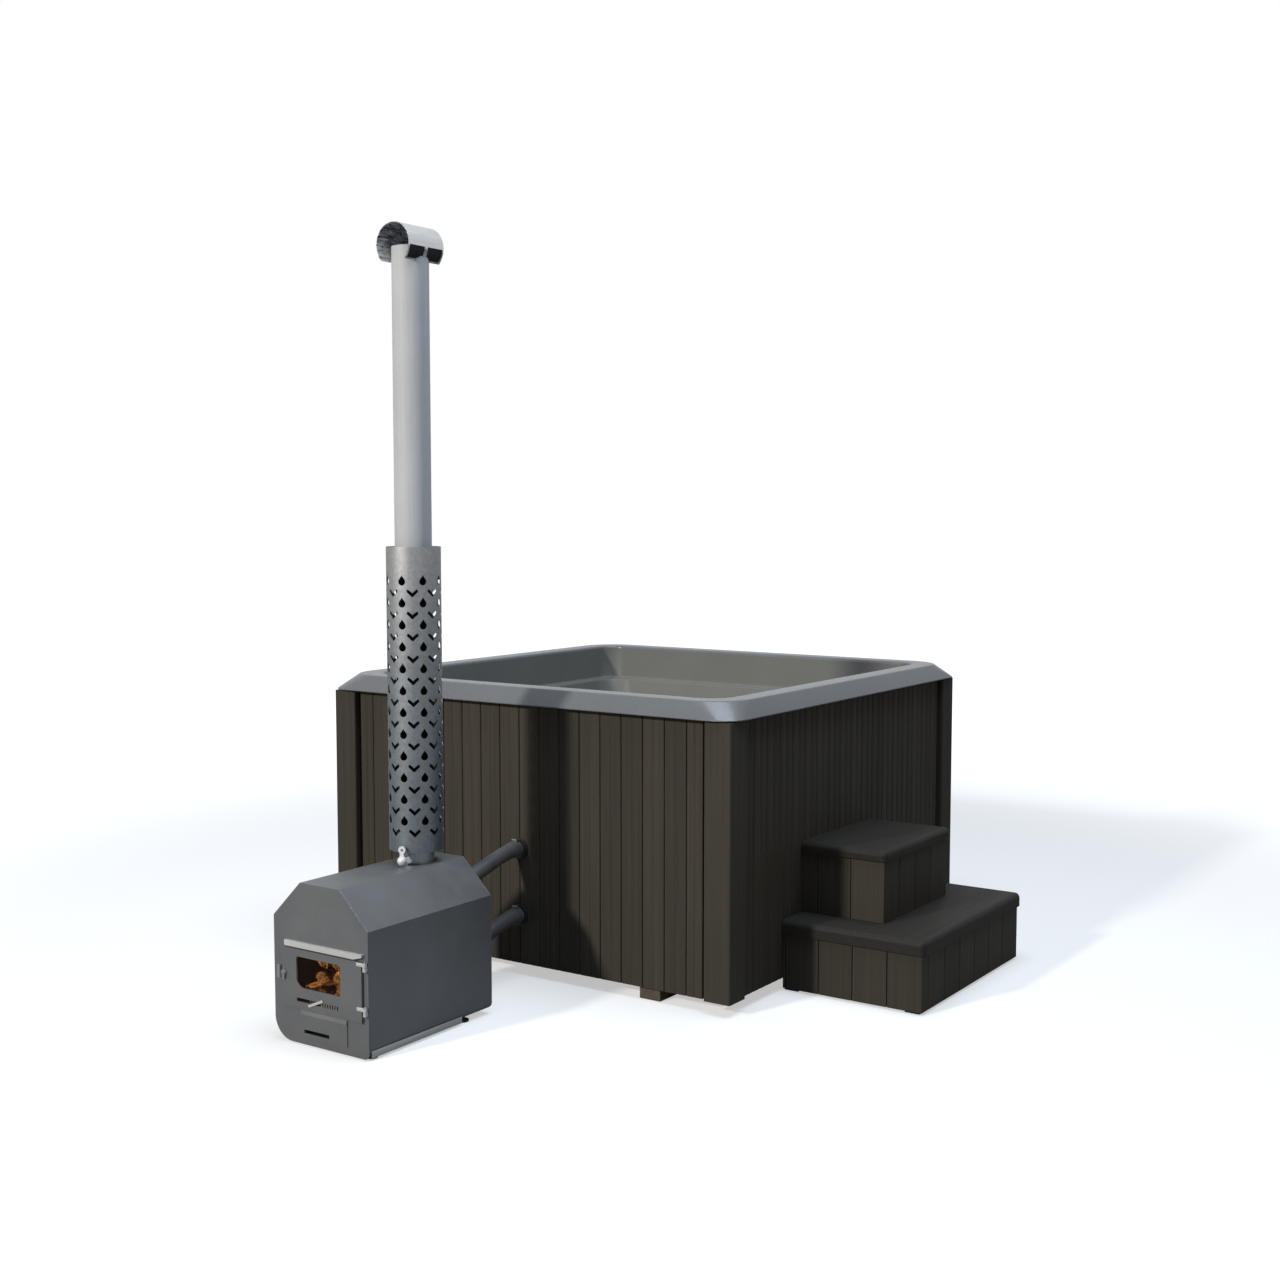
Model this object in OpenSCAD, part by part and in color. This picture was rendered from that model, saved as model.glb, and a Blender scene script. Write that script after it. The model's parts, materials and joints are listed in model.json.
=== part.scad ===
// Square hot tub with an outside wood stove, its chimney and a pair of steps.
// Millimetres. Z is up and the ground is z = 0. The origin is on the ground under the middle
// of the tub. The stove stands on the -Y side and the steps on the +X side.

/* [Tub] */
// Width and depth of the tub over its corner posts
tub_w = 2000; // [1700:10:2300]
// Height of the rim's top above the ground
tub_h = 1172; // [1050:1:1300]
// Height of the bearers under the tub
bearer_h = 50; // [40:1:80]
// Width of a bearer
bearer_w = 95; // [60:1:140]
// Height of the floor joists
joist_h = 70; // [50:1:100]
// Thickness of the frame's timber
timber = 45; // [36:1:50]
// Thickness of the floor deck
deck_t = 18; // [12:1:24]
// Thickness of the insulation panels
insulation_t = 30; // [20:1:30]

/* [Cladding] */
// Distance from one cladding board to the next
board_pitch = 99.5; // [80:0.5:140]
// Gap between two boards
board_gap = 3; // [1:0.5:6]
// Thickness of a board
board_t = 18; // [12:1:24]
// Width of a corner post's leg
post_w = 116; // [90:1:125]
// How far a corner post stands in front of the boards
post_proud = 20; // [10:1:30]
// Radius of a corner post's outer edge
post_edge_r = 8; // [4:1:30]
// Width of the shadow gap between a post and the first board
recess_w = 16; // [10:1:30]

/* [Shell] */
// Thickness of the moulded shell
shell_t = 8; // [5:1:10]
// How far the rim's lip reaches past the corner posts
lip_reach = 20; // [16:1:40]
// Height of the rim's slanted skirt
skirt_h = 67; // [50:1:90]
// How far the skirt leans inwards
skirt_lean = 50; // [30:1:54]
// Corner radius of the rim's lip
lip_corner_r = 100; // [90:1:160]
// Corner radius of the rim's top edge
rim_corner_r = 170; // [120:1:200]
// Gap between the basin's upper wall and the insulation panels
basin_gap = 4; // [2:1:40]
// Corner radius of the basin at the rim
basin_corner_r = 90; // [60:1:140]
// Depth of the upper wall, from the rim to the ledge
ledge_drop = 166; // [120:1:220]
// Width of the ledge over the seat backs
ledge_w = 34; // [20:1:60]
// How far a seat back leans out from its foot to its head
back_lean = 70; // [40:1:110]
// Height of the seats above the ground
seat_z = 600; // [540:1:660]
// Depth of a seat
seat_d = 330; // [280:1:400]
// How far the foot well's walls lean
well_lean = 30; // [10:1:50]
// Corner radius of the foot well
well_corner_r = 130; // [90:1:180]

/* [Steps] */
// How far the lower step reaches from the tub
step_reach = 602; // [520:1:700]
// Length of the lower step
step_l = 968; // [800:1:1200]
// Place of the lower step's near end
step_y0 = -578; // [-640:1:-500]
// Rise of each step
riser_h = 284; // [240:1:300]
// Thickness of the lower tread
low_tread_t = 56; // [40:1:70]
// Thickness of the upper tread
top_tread_t = 42; // [34:1:60]
// How far a tread stands past the boards under it
nosing = 12; // [8:1:20]
// Radius of a tread's upper edge
nosing_r = 22; // [12:1:28]
// How far the upper step reaches from the tub
top_reach = 370; // [320:1:420]
// Distance from the lower step's near end to the upper one's
top_inset = 153; // [100:1:180]
// Length of the upper step
top_l = 610; // [520:1:680]
// Width of a board of the steps
step_board_w = 145; // [100:1:180]
// Thickness of a board of the steps
step_board_t = 16; // [12:1:20]
// Height of the steps' feet
step_foot_h = 10; // [8:1:20]

/* [Stove] */
// Width of the stove
stove_w = 455; // [400:1:520]
// Length of the stove
stove_l = 655; // [600:1:760]
// Clear distance from the stove to the tub's posts
stove_gap = 435; // [400:1:500]
// Height of the stove's underside above the ground
stove_lift = 20; // [15:1:40]
// Height of the stove's top above the ground
stove_h = 580; // [540:1:640]
// Height of the slanted part of the roof
roof_rise = 130; // [100:1:150]
// Width of the roof's flat top
roof_flat = 190; // [185:1:220]
// Radius of the casing's lower left edge
stove_edge_r = 85; // [50:1:90]
// Radius of the casing's lower right edge
stove_right_r = 24; // [15:1:45]
// Thickness of the casing's sheet
sheet_t = 4; // [3:0.5:5]
// Thickness of the front and back plates
plate_t = 6; // [5:0.5:8]
// Water space between the casing and the firebox
jacket = 55; // [45:1:58]

/* [Door] */
// Width of the stove door
door_w = 385; // [370:1:390]
// Height of the stove door
door_h = 212; // [206:1:225]
// Height of the door's lower edge above the stove's underside
door_lift = 113; // [108:1:120]
// How far the door's middle lies right of the stove's
door_off = 12.5; // [10:0.5:14]
// Thickness of the door plate
door_t = 6; // [5:0.5:8]
// Width of the window
window_w = 212; // [160:1:220]
// Height of the window
window_h = 110; // [80:1:115]
// Thickness of the glass
glass_t = 4; // [3:0.5:4]

/* [Ash drawer] */
// Width of the ash drawer's box
drawer_w = 206; // [180:1:220]
// Height of the ash drawer's box
drawer_h = 58; // [50:1:62]
// Length of the ash drawer's box
drawer_l = 400; // [300:1:440]
// Thickness of the ash drawer's sheet
drawer_t = 2; // [1.5:0.5:3]

/* [Chimney] */
// Radius of the flue pipe
flue_r = 67.5; // [62:0.5:72]
// Wall of the flue pipe
flue_t = 2; // [1.5:0.5:3]
// Height of the flue pipe's top above the ground
flue_top = 2820; // [2300:10:3100]
// Distance from the stove's back to the flue's axis
flue_back = 155; // [140:1:180]
// Radius of the perforated heat shield
shield_r = 100; // [96:1:115]
// Height of the shield's lower end above the stove
shield_lift = 49; // [44:1:60]
// Length of the shield
shield_l = 1115; // [900:1:1300]
// Wall of the shield
shield_t = 2; // [1.5:0.5:3]
// Distance between two rows of holes in the shield
hole_pitch = 40.5; // [36:0.5:50]
// Number of rows of holes
hole_rows = 24; // [16:1:28]
// Number of holes in a row
holes_per_row = 8; // [6:1:10]
// Half the height of a hole
hole_r = 18; // [12:0.5:18]
// Radius of the cowl
cowl_r = 79; // [76:1:90]
// Length of the cowl
cowl_l = 184; // [160:1:220]
// Wall of the cowl
cowl_t = 2; // [1.5:0.5:3]

/* [Water] */
// Radius of a water hose
hose_r = 30; // [27:0.5:34]
// Wall of a water hose
hose_t = 5; // [4:0.5:6]
// Height of the hot hose at the tub
hot_z = 520; // [490:1:530]
// Height of the cold hose at the tub
cold_z = 249; // [235:1:270]
// How much lower a hose lies at the stove
hose_fall = 80; // [60:1:85]
// Radius of the drain pipe
drain_r = 25; // [20:0.5:28]
// Height of the drain pipe's middle above the shell's floor
drain_rise = 42; // [38:1:60]
// Distance from the drain's flange to the foot well's round corner
drain_in = 91; // [60:1:200]
// Length of the drain valve's lever
lever_l = 95; // [80:1:130]

/* [Hidden] */
$fn = 64;

// Facets of the rounded squares that are joined into a slanted wall
loft_fn = 32;
// Overrun of a cut past the face that it cuts
cut = 1;
// Thinnest slab that a slanted wall starts and ends with
slab = 0.2;
// Clearance between a piece and its seat
seat_gap = 0.3;
// Radial clearance of a pin in its bore
pin_gap = 0.05;
// Radial clearance of a pipe in a hole
hole_gap = 0.4;

// The tub's main levels and half widths, from the outside in
half = tub_w / 2;
board_face = half - post_proud;
frame_face = board_face - board_t;
frame_in = frame_face - timber;
joist_z = bearer_h;
rail_z = joist_z + joist_h;
deck_z = rail_z + deck_t;
floor_z = deck_z + shell_t;
lip_half = half + lip_reach;
lip_z = tub_h - skirt_h;
rim_half = lip_half - skirt_lean;
deck_half = frame_in;
rail_top = tub_h - shell_t;
ledge_z = tub_h - ledge_drop;
basin_half = frame_in - insulation_t - basin_gap - shell_t;
back_half = basin_half - ledge_w;
seat_half = back_half - back_lean;
well_half = seat_half - seat_d;
floor_half = well_half - well_lean;
// Gap from the cladding's top to the rim's lip
lip_clear = 4;
clad_top = lip_z - lip_clear;
// Half width that the boards of one side cover
boards_half = half - post_w - recess_w;

// Where the bearers, the joists and the studs stand, as shares of the half width
bearer_shares = [-0.62, 0, 0.62];
// How far the middle bearer's front end stands back from the outer ones'
bearer_back = 200;
joist_shares = [-0.75, -0.375, 0, 0.375, 0.75];
stud_shares = [-0.6, -0.3, 0.3, 0.6];

// Steps
step_x0 = board_face + seat_gap;
step_x1 = board_face + step_reach;
step_y1 = step_y0 + step_l;
top_x1 = board_face + top_reach;
top_y0 = step_y0 + top_inset;
top_y1 = top_y0 + top_l;
low_under = riser_h - low_tread_t;
top_under = 2 * riser_h - top_tread_t;
// Side of the feet under the steps
step_foot_w = 60;
// Thickness of the steps' inner timber
step_timber = 40;

// Stove
stove_back = -half - stove_gap;
stove_front = stove_back - stove_l;
stove_half = stove_w / 2;
flat_half = roof_flat / 2;
shoulder_z = stove_h - roof_rise;
casing_y0 = stove_front + plate_t;
casing_y1 = stove_back - plate_t;
fire_half = stove_half - jacket;
// Thickness of the firebox's plate
fire_t = 5;
// Height of the firebox's floor above the stove's underside
fire_lift = 12;
fire_z0 = stove_lift + fire_lift;
// Distance from the stove's top to the firebox's
fire_drop = 173;
fire_z1 = stove_h - fire_drop;
fire_y1 = casing_y1 - jacket;
grate_z = stove_lift + door_lift;
// Thickness of the grate
grate_t = 10;
// Width of the ledges that carry the grate
grate_ledge = 14;
// Width of a slot in the grate
grate_slot = 12;
// Distance from one slot of the grate to the next
grate_pitch = 26;
// Distance from the grate's edge to its first slot
grate_edge = 40;
// How far the front plate reaches below the casing
apron_h = 15;
// Radius of a stove foot
foot_r = 22;
// Distances of the front and the rear feet from the stove's ends
foot_front = 45;
foot_rear = 130;
// Height of the foot's pad
foot_pad = 8;
// Radius of the foot's stem
foot_stem_r = 8;
// The feet's places at the ends of the casing's flat underside
foot_left = stove_edge_r + foot_stem_r - stove_half;
foot_right = stove_half - stove_right_r - foot_stem_r;

// Door
door_x0 = door_off - door_w / 2;
door_x1 = door_off + door_w / 2;
door_z0 = stove_lift + door_lift;
door_z1 = door_z0 + door_h;
// Thickness and width of the rope seal
seal_t = 4;
seal_w = 8;
// Distance from the door's edge to the seal on the left and on the right
seal_left = 28;
seal_right = 30;
// Distance from the door's lower and upper edges to the seal
seal_inset = 4;
door_back = stove_front - seat_gap - seal_t;
door_face = door_back - door_t;
mouth_x0 = door_x0 + seal_left + seal_w + seal_w;
mouth_x1 = door_x1 - seal_right - seal_w - seal_w;
mouth_z0 = door_z0 + seal_inset + seal_w + seal_inset;
mouth_z1 = door_z1 - seal_inset - seal_w - seal_inset;
// Distance from the door's left edge to the window
window_left = 73;
window_x0 = door_x0 + window_left;
window_x1 = window_x0 + window_w;
// Distance from the door's upper edge to the window
window_drop = 26;
window_z1 = door_z1 - window_drop;
window_z0 = window_z1 - window_h;
// Radius of the window's corners, and of its lower left one in the door plate
window_r = 8;
window_big_r = 35;
// How far the glass reaches behind the door plate
glass_lap = 6;
// Thickness of the frame behind the glass
frame_t = 3;
// How far that frame covers the glass
frame_lap = 5;
// How far that frame reaches past the window
frame_reach = 9;

// Air slot and its slider
slot_w = 200;
slot_h = 14;
// Height of the slot above the door's lower edge
slot_lift = 25;
slot_z0 = door_z0 + slot_lift;
slot_z1 = slot_z0 + slot_h;
slot_x0 = window_x0;
slot_x1 = slot_x0 + slot_w;
// Share of the slot that the grille covers
grille_share = 0.41;
grille_x0 = slot_x1 - slot_w * grille_share;
// Slats of the grille
slat_count = 7;
// Thickness of the slider's plate
slider_t = 2;
// How far the slider's plate reaches past the slot
slider_lap = 3;
// Half the width of the slider's stem
stem_half = 5;
// Distance from the stem to the grille at rest
slider_rest = 19;
slider_x = grille_x0 - stem_half - slider_rest;
// Length, height and thickness of the slider's tongue
tongue_l = 75;
tongue_h = 9;
tongue_t = 3;
// Slant of the tongue, in degrees
tongue_slant = 23;

// Hinges
// Distance from the door's edge to the hinges' axis
hinge_out = 15;
hinge_x = door_x1 + hinge_out;
// Distance of the hinges' axis in front of the door's middle
hinge_front = 2;
hinge_y = (door_back + door_face) / 2 - hinge_front;
knuckle_r = 7;
knuckle_h = 15;
hinge_pin_r = 3;
// Distances from the door's lower and upper edges to the middle of a hinge
hinge_low = 42;
hinge_top = 15;
hinge_zs = [door_z0 + hinge_low, door_z1 - hinge_top];
// Width of the bracket's arm
hinge_arm = 10;
// How far the pin stands over the knuckle
pin_head = 2;

// Latch
// Distance from the door's edge to the latch's pivot
latch_in = 15;
latch_x = door_x0 + latch_in;
// Height of the latch above the door's lower edge
latch_lift = 122;
latch_z = door_z0 + latch_lift;
latch_pin_r = 4;
latch_boss_r = 9;
latch_t = 4;
latch_h = 9;
// How far the latch's tongue reaches past the door
latch_reach = 11;
// Length of the latch's grip
grip_l = 24;
grip_r = 5;
latch_y1 = door_face - seat_gap;
latch_y0 = latch_y1 - latch_t;
// Width and height of the keeper
keeper_w = 14;
keeper_h = 46;
keeper_t = 4;
keeper_clear = 2;
keeper_x1 = door_x0 - keeper_clear;

// Bright lip over the door
lip_in = 16;
lip_x0 = door_x0 + lip_in;
lip_l = 372;
lip_plate_h = 20;
// Length and height of the bevel at the lip's lower right end
lip_bevel_l = 38;
lip_bevel_h = 11;
lip_out = 13;
lip_sheet = 3;
lip_gap_z = 6;
lip_z0 = door_z1 + lip_gap_z;
lip_z1 = lip_z0 + lip_plate_h;

// Ash drawer
drawer_z0 = fire_z0 + fire_t + seat_gap;
drawer_z1 = drawer_z0 + drawer_h;
// How far the drawer's middle lies right of the stove's
drawer_off = 17;
drawer_x0 = drawer_off - drawer_w / 2;
drawer_x1 = drawer_off + drawer_w / 2;
// How far the drawer's front reaches past its box
front_lap = 8;
drawer_front_t = 3;
front_face = stove_front - seat_gap - drawer_front_t;
// Gap from the top of the drawer's front up to the door
front_gap = 3.5;
front_top = door_z0 - front_gap;
// Slanted lip along the top of the drawer's front
drawer_lip_h = 16;
drawer_lip_out = 4;
// Finger slot in the drawer's front
finger_w = 122;
finger_h = 13;
// Distance from the drawer front's edge to the finger slot
finger_in = 14;
finger_x0 = drawer_x0 - front_lap + finger_in;
// Height of the finger slot above the drawer's underside
finger_lift = 10;
// Clearance round the drawer in its opening
drawer_clear = 1.5;

// Chimney
flue_y = stove_back - flue_back;
lower_r = flue_r - flue_t - hole_gap;
// Wall of the flue throat
throat_t = 4;
throat_in = lower_r + seat_gap;
throat_r = throat_in + throat_t;
// Height of the throat above the roof
throat_h = 5;
// How far the flue reaches down into the throat
flue_seat = 40;
collar_r = 75;
collar_t = 5;
flue_z0 = stove_h - flue_seat;
// Overlap of the two flue pipes
flue_lap = 60;
// Height of the joint between the two flue pipes over the stove
joint_lift = 1110;
joint_z = stove_h + joint_lift;
shield_z0 = stove_h + shield_lift;
shield_z1 = shield_z0 + shield_l;
// Height of the first row of holes above the shield's lower end
hole_start = 58;
// Width of a hole as a share of its height
hole_width_share = 0.9;
// Heights of the spacers as shares of the shield's length
spacer_shares = [0.06, 0.9];
spacer_count = 3;
spacer_w = 14;
spacer_h = 18;
// Half a full turn of the spacers' places, in degrees
spacer_turn = 30;

// Damper
damper_lift = 34;
damper_z = stove_h + damper_lift;
// How far the spindle is turned about the flue's axis, in degrees
damper_turn = 15;
spindle_r = 4;
damper_t = 2;
// Clearance of the damper plate in the flue
damper_clear = 3;
damper_r = lower_r - flue_t - damper_clear;
spindle_tail = 8;
handle_w = 14;
handle_t = 6;
// How far the handle's eye and its weight lie above and below the spindle
handle_up = 28;
handle_down = 12;
// Radius of the eye at the handle's upper end and of its hole
eye_r = 14;
eye_hole_r = 5;
// Radius of the weight at the handle's lower end
knob_r = 18;
handle_clear = 12;
handle_y = flue_y - shield_r - handle_clear;

// Cowl
cowl_z = flue_top;
// Share of the radius at which the cowl is cut open below
cowl_cut_share = 0.7;
// Height of the openings in the cowl's right side, and the sheet left over them and at their ends
side_window_h = 44;
side_strap = 6;
// Brackets between the flue and the cowl
bracket_h = 30;
bracket_w = 16;

// Water
bore_r = hose_r - hose_t;
// Length of a stub that a hose is pushed over
stub_l = 48;
// Wall of the stubs and pipes
pipe_t = 3;
stub_r = bore_r - hole_gap;
// Radius and thickness of a union's flange
union_r = 43;
union_t = 9;
union_face = board_face + union_t;
// Width and radius of the weld collar round a stub
weld_w = 6;
weld_r = 36;
hose_start = stove_back + seat_gap + weld_w;
hose_end = -union_face - seat_gap;
// Length of the cuff at each end of a hose, and how far the slanted part runs into it
hose_straight = 56;
hose_sunk = 8.5;
hose_run = hose_end - hose_start - 2 * (hose_straight - hose_sunk);
hose_slant = sqrt(hose_run * hose_run + hose_fall * hose_fall);
hose_tilt = atan2(hose_fall, hose_run);
// How much thicker a cuff is than the hose
cuff_t = 3.5;
cuff_r = hose_r + cuff_t;
// Width and thickness of a hose clamp
clamp_w = 13;
clamp_t = 1.5;
clamp_inset = 14;
clamp_screw_r = 5;
clamp_screw_l = 24;
// Thickness and radius of a fitting's flange in the foot well
well_flange_t = 5;
well_flange_r = 46;
// Slots in the covers of the fittings
grid_w = 4;
grid_count = 5;
grid_pitch = 9;
hot_stove_z = hot_z - hose_fall;
cold_stove_z = cold_z - hose_fall;

// Drain
drain_flange_r = 40;
drain_flange_t = 4;
drain_x = floor_half - well_corner_r - drain_flange_r - drain_in;
drain_z = floor_z + drain_rise;
drain_wall = 2.5;
valve_y0 = board_face + 26;
valve_l = 64;
valve_r = 34;
nut_r = 33;
nut_l = 15;
outlet_l = 34;
stem_r = 6;
stem_h = 16;
lever_w = 18;
lever_t = 4;
lever_lift = 6;

// Logs on the grate: their length, and the gap between them
log_l = 230;
log_gap = 2;
// First and last log of each layer, counted from the left
log_layers = [[0, 3], [1, 3], [1, 2]];
// Share of the firebox's height over the grate that the logs fill
log_share = 0.679;
log_room = fire_z1 - fire_t - grate_z - grate_t;
// Distance from a log's middle to its flat top
log_flat = (log_room * log_share - (len(log_layers) - 1) * seat_gap) / (2 * len(log_layers));
// Distance from the firebox's left wall to the first log
log_start = 22;
// Distance from the last log to the firebox's right wall
log_end = 46;
// Distance from a log's middle to its side edges
log_r = (2 * fire_half - log_start - log_end - log_layers[0][1] * log_gap) / (2 * log_layers[0][1] + 2);

// Colours
clad_color = [0.24, 0.22, 0.19];
post_color = [0.20, 0.19, 0.17];
gelcoat_color = [0.62, 0.63, 0.64];
timber_color = [0.62, 0.50, 0.36];
foam_color = [0.85, 0.84, 0.80];
stove_color = [0.40, 0.41, 0.43];
steel_color = [0.75, 0.76, 0.77];
galv_color = [0.55, 0.58, 0.60];
bright_color = [0.85, 0.86, 0.87];
iron_color = [0.20, 0.20, 0.21];
hose_color = [0.30, 0.30, 0.30];
rope_color = [0.35, 0.34, 0.32];
brass_color = [0.72, 0.62, 0.36];
glass_color = [0.25, 0.22, 0.20];
log_color = [0.60, 0.38, 0.18];
plastic_color = [0.12, 0.12, 0.13];

// A box between two corners
module block(x0, y0, z0, x1, y1, z1)
    translate([x0, y0, z0]) cube([x1 - x0, y1 - y0, z1 - z0]);

// A round bar along Y, from y0 to y1
module bar_y(r, x, z, y0, y1)
    translate([x, y1, z]) rotate([90, 0, 0]) cylinder(r = r, h = y1 - y0);

// A round bar along X, from x0 to x1
module bar_x(r, y, z, x0, x1)
    translate([x0, y, z]) rotate([0, 90, 0]) cylinder(r = r, h = x1 - x0);

// A round bar along Z, from z0 to z1
module bar_z(r, x, y, z0, z1)
    translate([x, y, z0]) cylinder(r = r, h = z1 - z0);

// An outline in X and Z, drawn as x and z, pulled along Y from y0 to y1
module plate_y(y0, y1)
    translate([0, y1, 0]) rotate([90, 0, 0]) linear_extrude(y1 - y0) children();

// A rectangle with round corners
module round_rect(x0, y0, x1, y1, r) {
    translate([x0 + r, y0]) square([x1 - x0 - 2 * r, y1 - y0]);
    translate([x0, y0 + r]) square([x1 - x0, y1 - y0 - 2 * r]);
    for (x = [x0 + r, x1 - r], y = [y0 + r, y1 - r]) translate([x, y]) circle(r);
}

// A centred square with round corners
module round_square(h, r) round_rect(-h, -h, h, h, r);

// A solid that runs from one rounded square to another over it
module loft(h0, r0, z0, h1, r1, z1)
    hull() {
        translate([0, 0, z0]) linear_extrude(slab) round_square(h0, r0, $fn = loft_fn);
        translate([0, 0, z1 - slab]) linear_extrude(slab) round_square(h1, r1, $fn = loft_fn);
    }

// The same piece on each of the four sides
module four_sides() for (turn = [0:90:270]) rotate([0, 0, turn]) children();

// Frame of the tub
module base_bearers()
    color(timber_color)
    for (share = bearer_shares)
        block(half * share - bearer_w / 2, share == 0 ? bearer_back - frame_face : -frame_face, 0,
              half * share + bearer_w / 2, frame_face, bearer_h);

module floor_joists()
    color(timber_color)
    for (share = joist_shares)
        block(-frame_in, half * share - timber / 2, joist_z, frame_in, half * share + timber / 2, rail_z);

module bottom_rails()
    color(timber_color)
    four_sides() block(-frame_face, -frame_face, joist_z, frame_in, -frame_in, rail_z);

module floor_deck()
    color(timber_color)
    block(-deck_half, -deck_half, rail_z, deck_half, deck_half, deck_z);

// The rails under the rim, with their ends cut round so that they stay inside the rim's corners
module top_rails()
    color(timber_color)
    intersection() {
        four_sides() block(-frame_face, -frame_face, rail_top - timber, frame_in, -frame_in, rail_top);
        translate([0, 0, rail_top - timber - cut]) linear_extrude(timber + 2 * cut)
            round_square(min(frame_face, rim_half - shell_t), rim_corner_r);
    }

// One upright at a place along the side
module stud(x)
    block(x - timber / 2, -frame_face, rail_z, x + timber / 2, -frame_in, rail_top - timber);

module wall_studs()
    color(timber_color)
    four_sides() {
        stud(-frame_face + timber / 2);
        for (side = [-1, 1]) stud(side * (frame_in - timber / 2));
        for (share = stud_shares) stud(half * share);
    }

// Holes through the front wall for the hot and the cold pipe
module pipe_holes(y0, y1)
    for (z = [hot_z, cold_z]) bar_y(stub_r + hole_gap, 0, z, y0, y1);

// Hole through the back wall for the drain pipe
module drain_hole(y0, y1) bar_y(drain_r + hole_gap, drain_x, drain_z, y0, y1);

module wall_insulation()
    color(foam_color)
    difference() {
        four_sides()
            block(-frame_in, -frame_in, deck_z, frame_in - insulation_t, insulation_t - frame_in,
                  rail_top - timber);
        pipe_holes(-frame_in - cut, insulation_t - frame_in + cut);
        drain_hole(frame_in - insulation_t - cut, frame_in + cut);
    }

// Boards of one side: whole boards out from the middle, and a narrower one at each end
module side_boards() {
    count = floor(boards_half / board_pitch);
    for (side = [-1, 1], i = [0:count]) {
        x0 = i * board_pitch + board_gap / 2;
        x1 = min((i + 1) * board_pitch - board_gap / 2, boards_half);
        if (x1 - x0 > board_gap)
            block(min(side * x0, side * x1), -board_face, bearer_h,
                  max(side * x0, side * x1), -frame_face, clad_top);
    }
}

module front_cladding()
    color(clad_color)
    difference() {
        side_boards();
        pipe_holes(-board_face - cut, -frame_face + cut);
    }

module right_cladding() color(clad_color) rotate([0, 0, 90]) side_boards();

module back_cladding()
    color(clad_color)
    difference() {
        rotate([0, 0, 180]) side_boards();
        drain_hole(frame_face - cut, board_face + cut);
    }

module left_cladding() color(clad_color) rotate([0, 0, -90]) side_boards();

// Angled posts that wrap the corners of the frame
module corner_posts()
    color(post_color)
    four_sides()
        translate([0, 0, bearer_h]) linear_extrude(clad_top - bearer_h)
            difference() {
                round_rect(half - post_w, -half, half, post_w - half, post_edge_r);
                translate([half - post_w - cut, -frame_face])
                    square([frame_face - half + post_w + cut, post_w]);
            }

// Space between the slanted seat backs
module seat_space() loft(seat_half, well_corner_r, seat_z, back_half, well_corner_r, ledge_z + slab);

// Space of the foot well
module well_space() loft(floor_half, well_corner_r, floor_z, well_half, well_corner_r, seat_z + slab);

// Top section of the moulded shell: rim, skirt, upper wall and ledge
module rim_moulding()
    color(gelcoat_color)
    difference() {
        union() {
            difference() {
                loft(lip_half, lip_corner_r, lip_z, rim_half, rim_corner_r, tub_h);
                loft(lip_half - shell_t, lip_corner_r - shell_t, lip_z - cut,
                     rim_half - shell_t, rim_corner_r - shell_t, tub_h - shell_t);
            }
            translate([0, 0, ledge_z - shell_t]) linear_extrude(tub_h - ledge_z)
                round_square(basin_half + shell_t, basin_corner_r + shell_t);
        }
        translate([0, 0, ledge_z]) linear_extrude(tub_h - ledge_z + cut)
            round_square(basin_half, basin_corner_r);
        seat_space();
    }

// Middle section of the shell, bonded under the ledge: seat backs and seats
module seat_moulding()
    color(gelcoat_color)
    difference() {
        loft(seat_half + shell_t, well_corner_r + shell_t, seat_z - shell_t,
             back_half + shell_t, well_corner_r + shell_t, ledge_z);
        translate([0, 0, ledge_z - shell_t]) linear_extrude(shell_t + cut)
            round_square(basin_half, basin_corner_r);
        seat_space();
        well_space();
    }

// Lowest section of the shell, bonded under the seats: foot well
module well_moulding()
    color(gelcoat_color)
    difference() {
        loft(floor_half + shell_t, well_corner_r + shell_t, deck_z,
             well_half + shell_t, well_corner_r + shell_t, seat_z);
        translate([0, 0, seat_z - shell_t]) linear_extrude(shell_t + cut)
            round_square(seat_half, well_corner_r);
        well_space();
        pipe_holes(-well_half - well_lean, -floor_half + well_lean);
        drain_hole(floor_half - well_lean, well_half + well_lean);
    }

// Place of the foot well's wall at a height
function well_at(z) = floor_half + well_lean * (z - deck_z) / (seat_z - deck_z);

// A pipe along Y
module pipe_y(r, t, x, z, y0, y1)
    difference() {
        bar_y(r, x, z, y0, y1);
        bar_y(r - t, x, z, y0 - cut, y1 + cut);
    }

// Water pipes under the front seat, from the wall to the foot well
module under_seat_pipes()
    color(plastic_color)
    for (z = [hot_z, cold_z]) pipe_y(stub_r, pipe_t, 0, z, -board_face, -well_at(z) + well_flange_t);

// Slotted cover on a pipe's end in the foot well, its face towards +Y
module well_cover(r, z, inner)
    difference() {
        bar_y(r, 0, z, inner, inner + well_flange_t);
        for (i = [0:grid_count - 1])
            translate([(i - (grid_count - 1) / 2) * grid_pitch - grid_w / 2, inner - cut, z - stub_r / 2])
                cube([grid_w, well_flange_t + 2 * cut, stub_r]);
    }

// Covers in the foot well: one over each water pipe, and the strainer over the drain
module well_covers()
    color(bright_color) {
        for (z = [hot_z, cold_z]) well_cover(well_flange_r, z, -well_at(z) + well_flange_t + seat_gap);
        drain_strainer();
    }

module wall_unions()
    color(plastic_color)
    for (z = [hot_z, cold_z]) {
        difference() {
            union() {
                bar_y(union_r, 0, z, -union_face, -board_face);
                bar_y(stub_r, 0, z, -union_face - stub_l, -union_face);
            }
            bar_y(stub_r - pipe_t, 0, z, -union_face - stub_l - cut, -board_face + cut);
        }
    }

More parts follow.
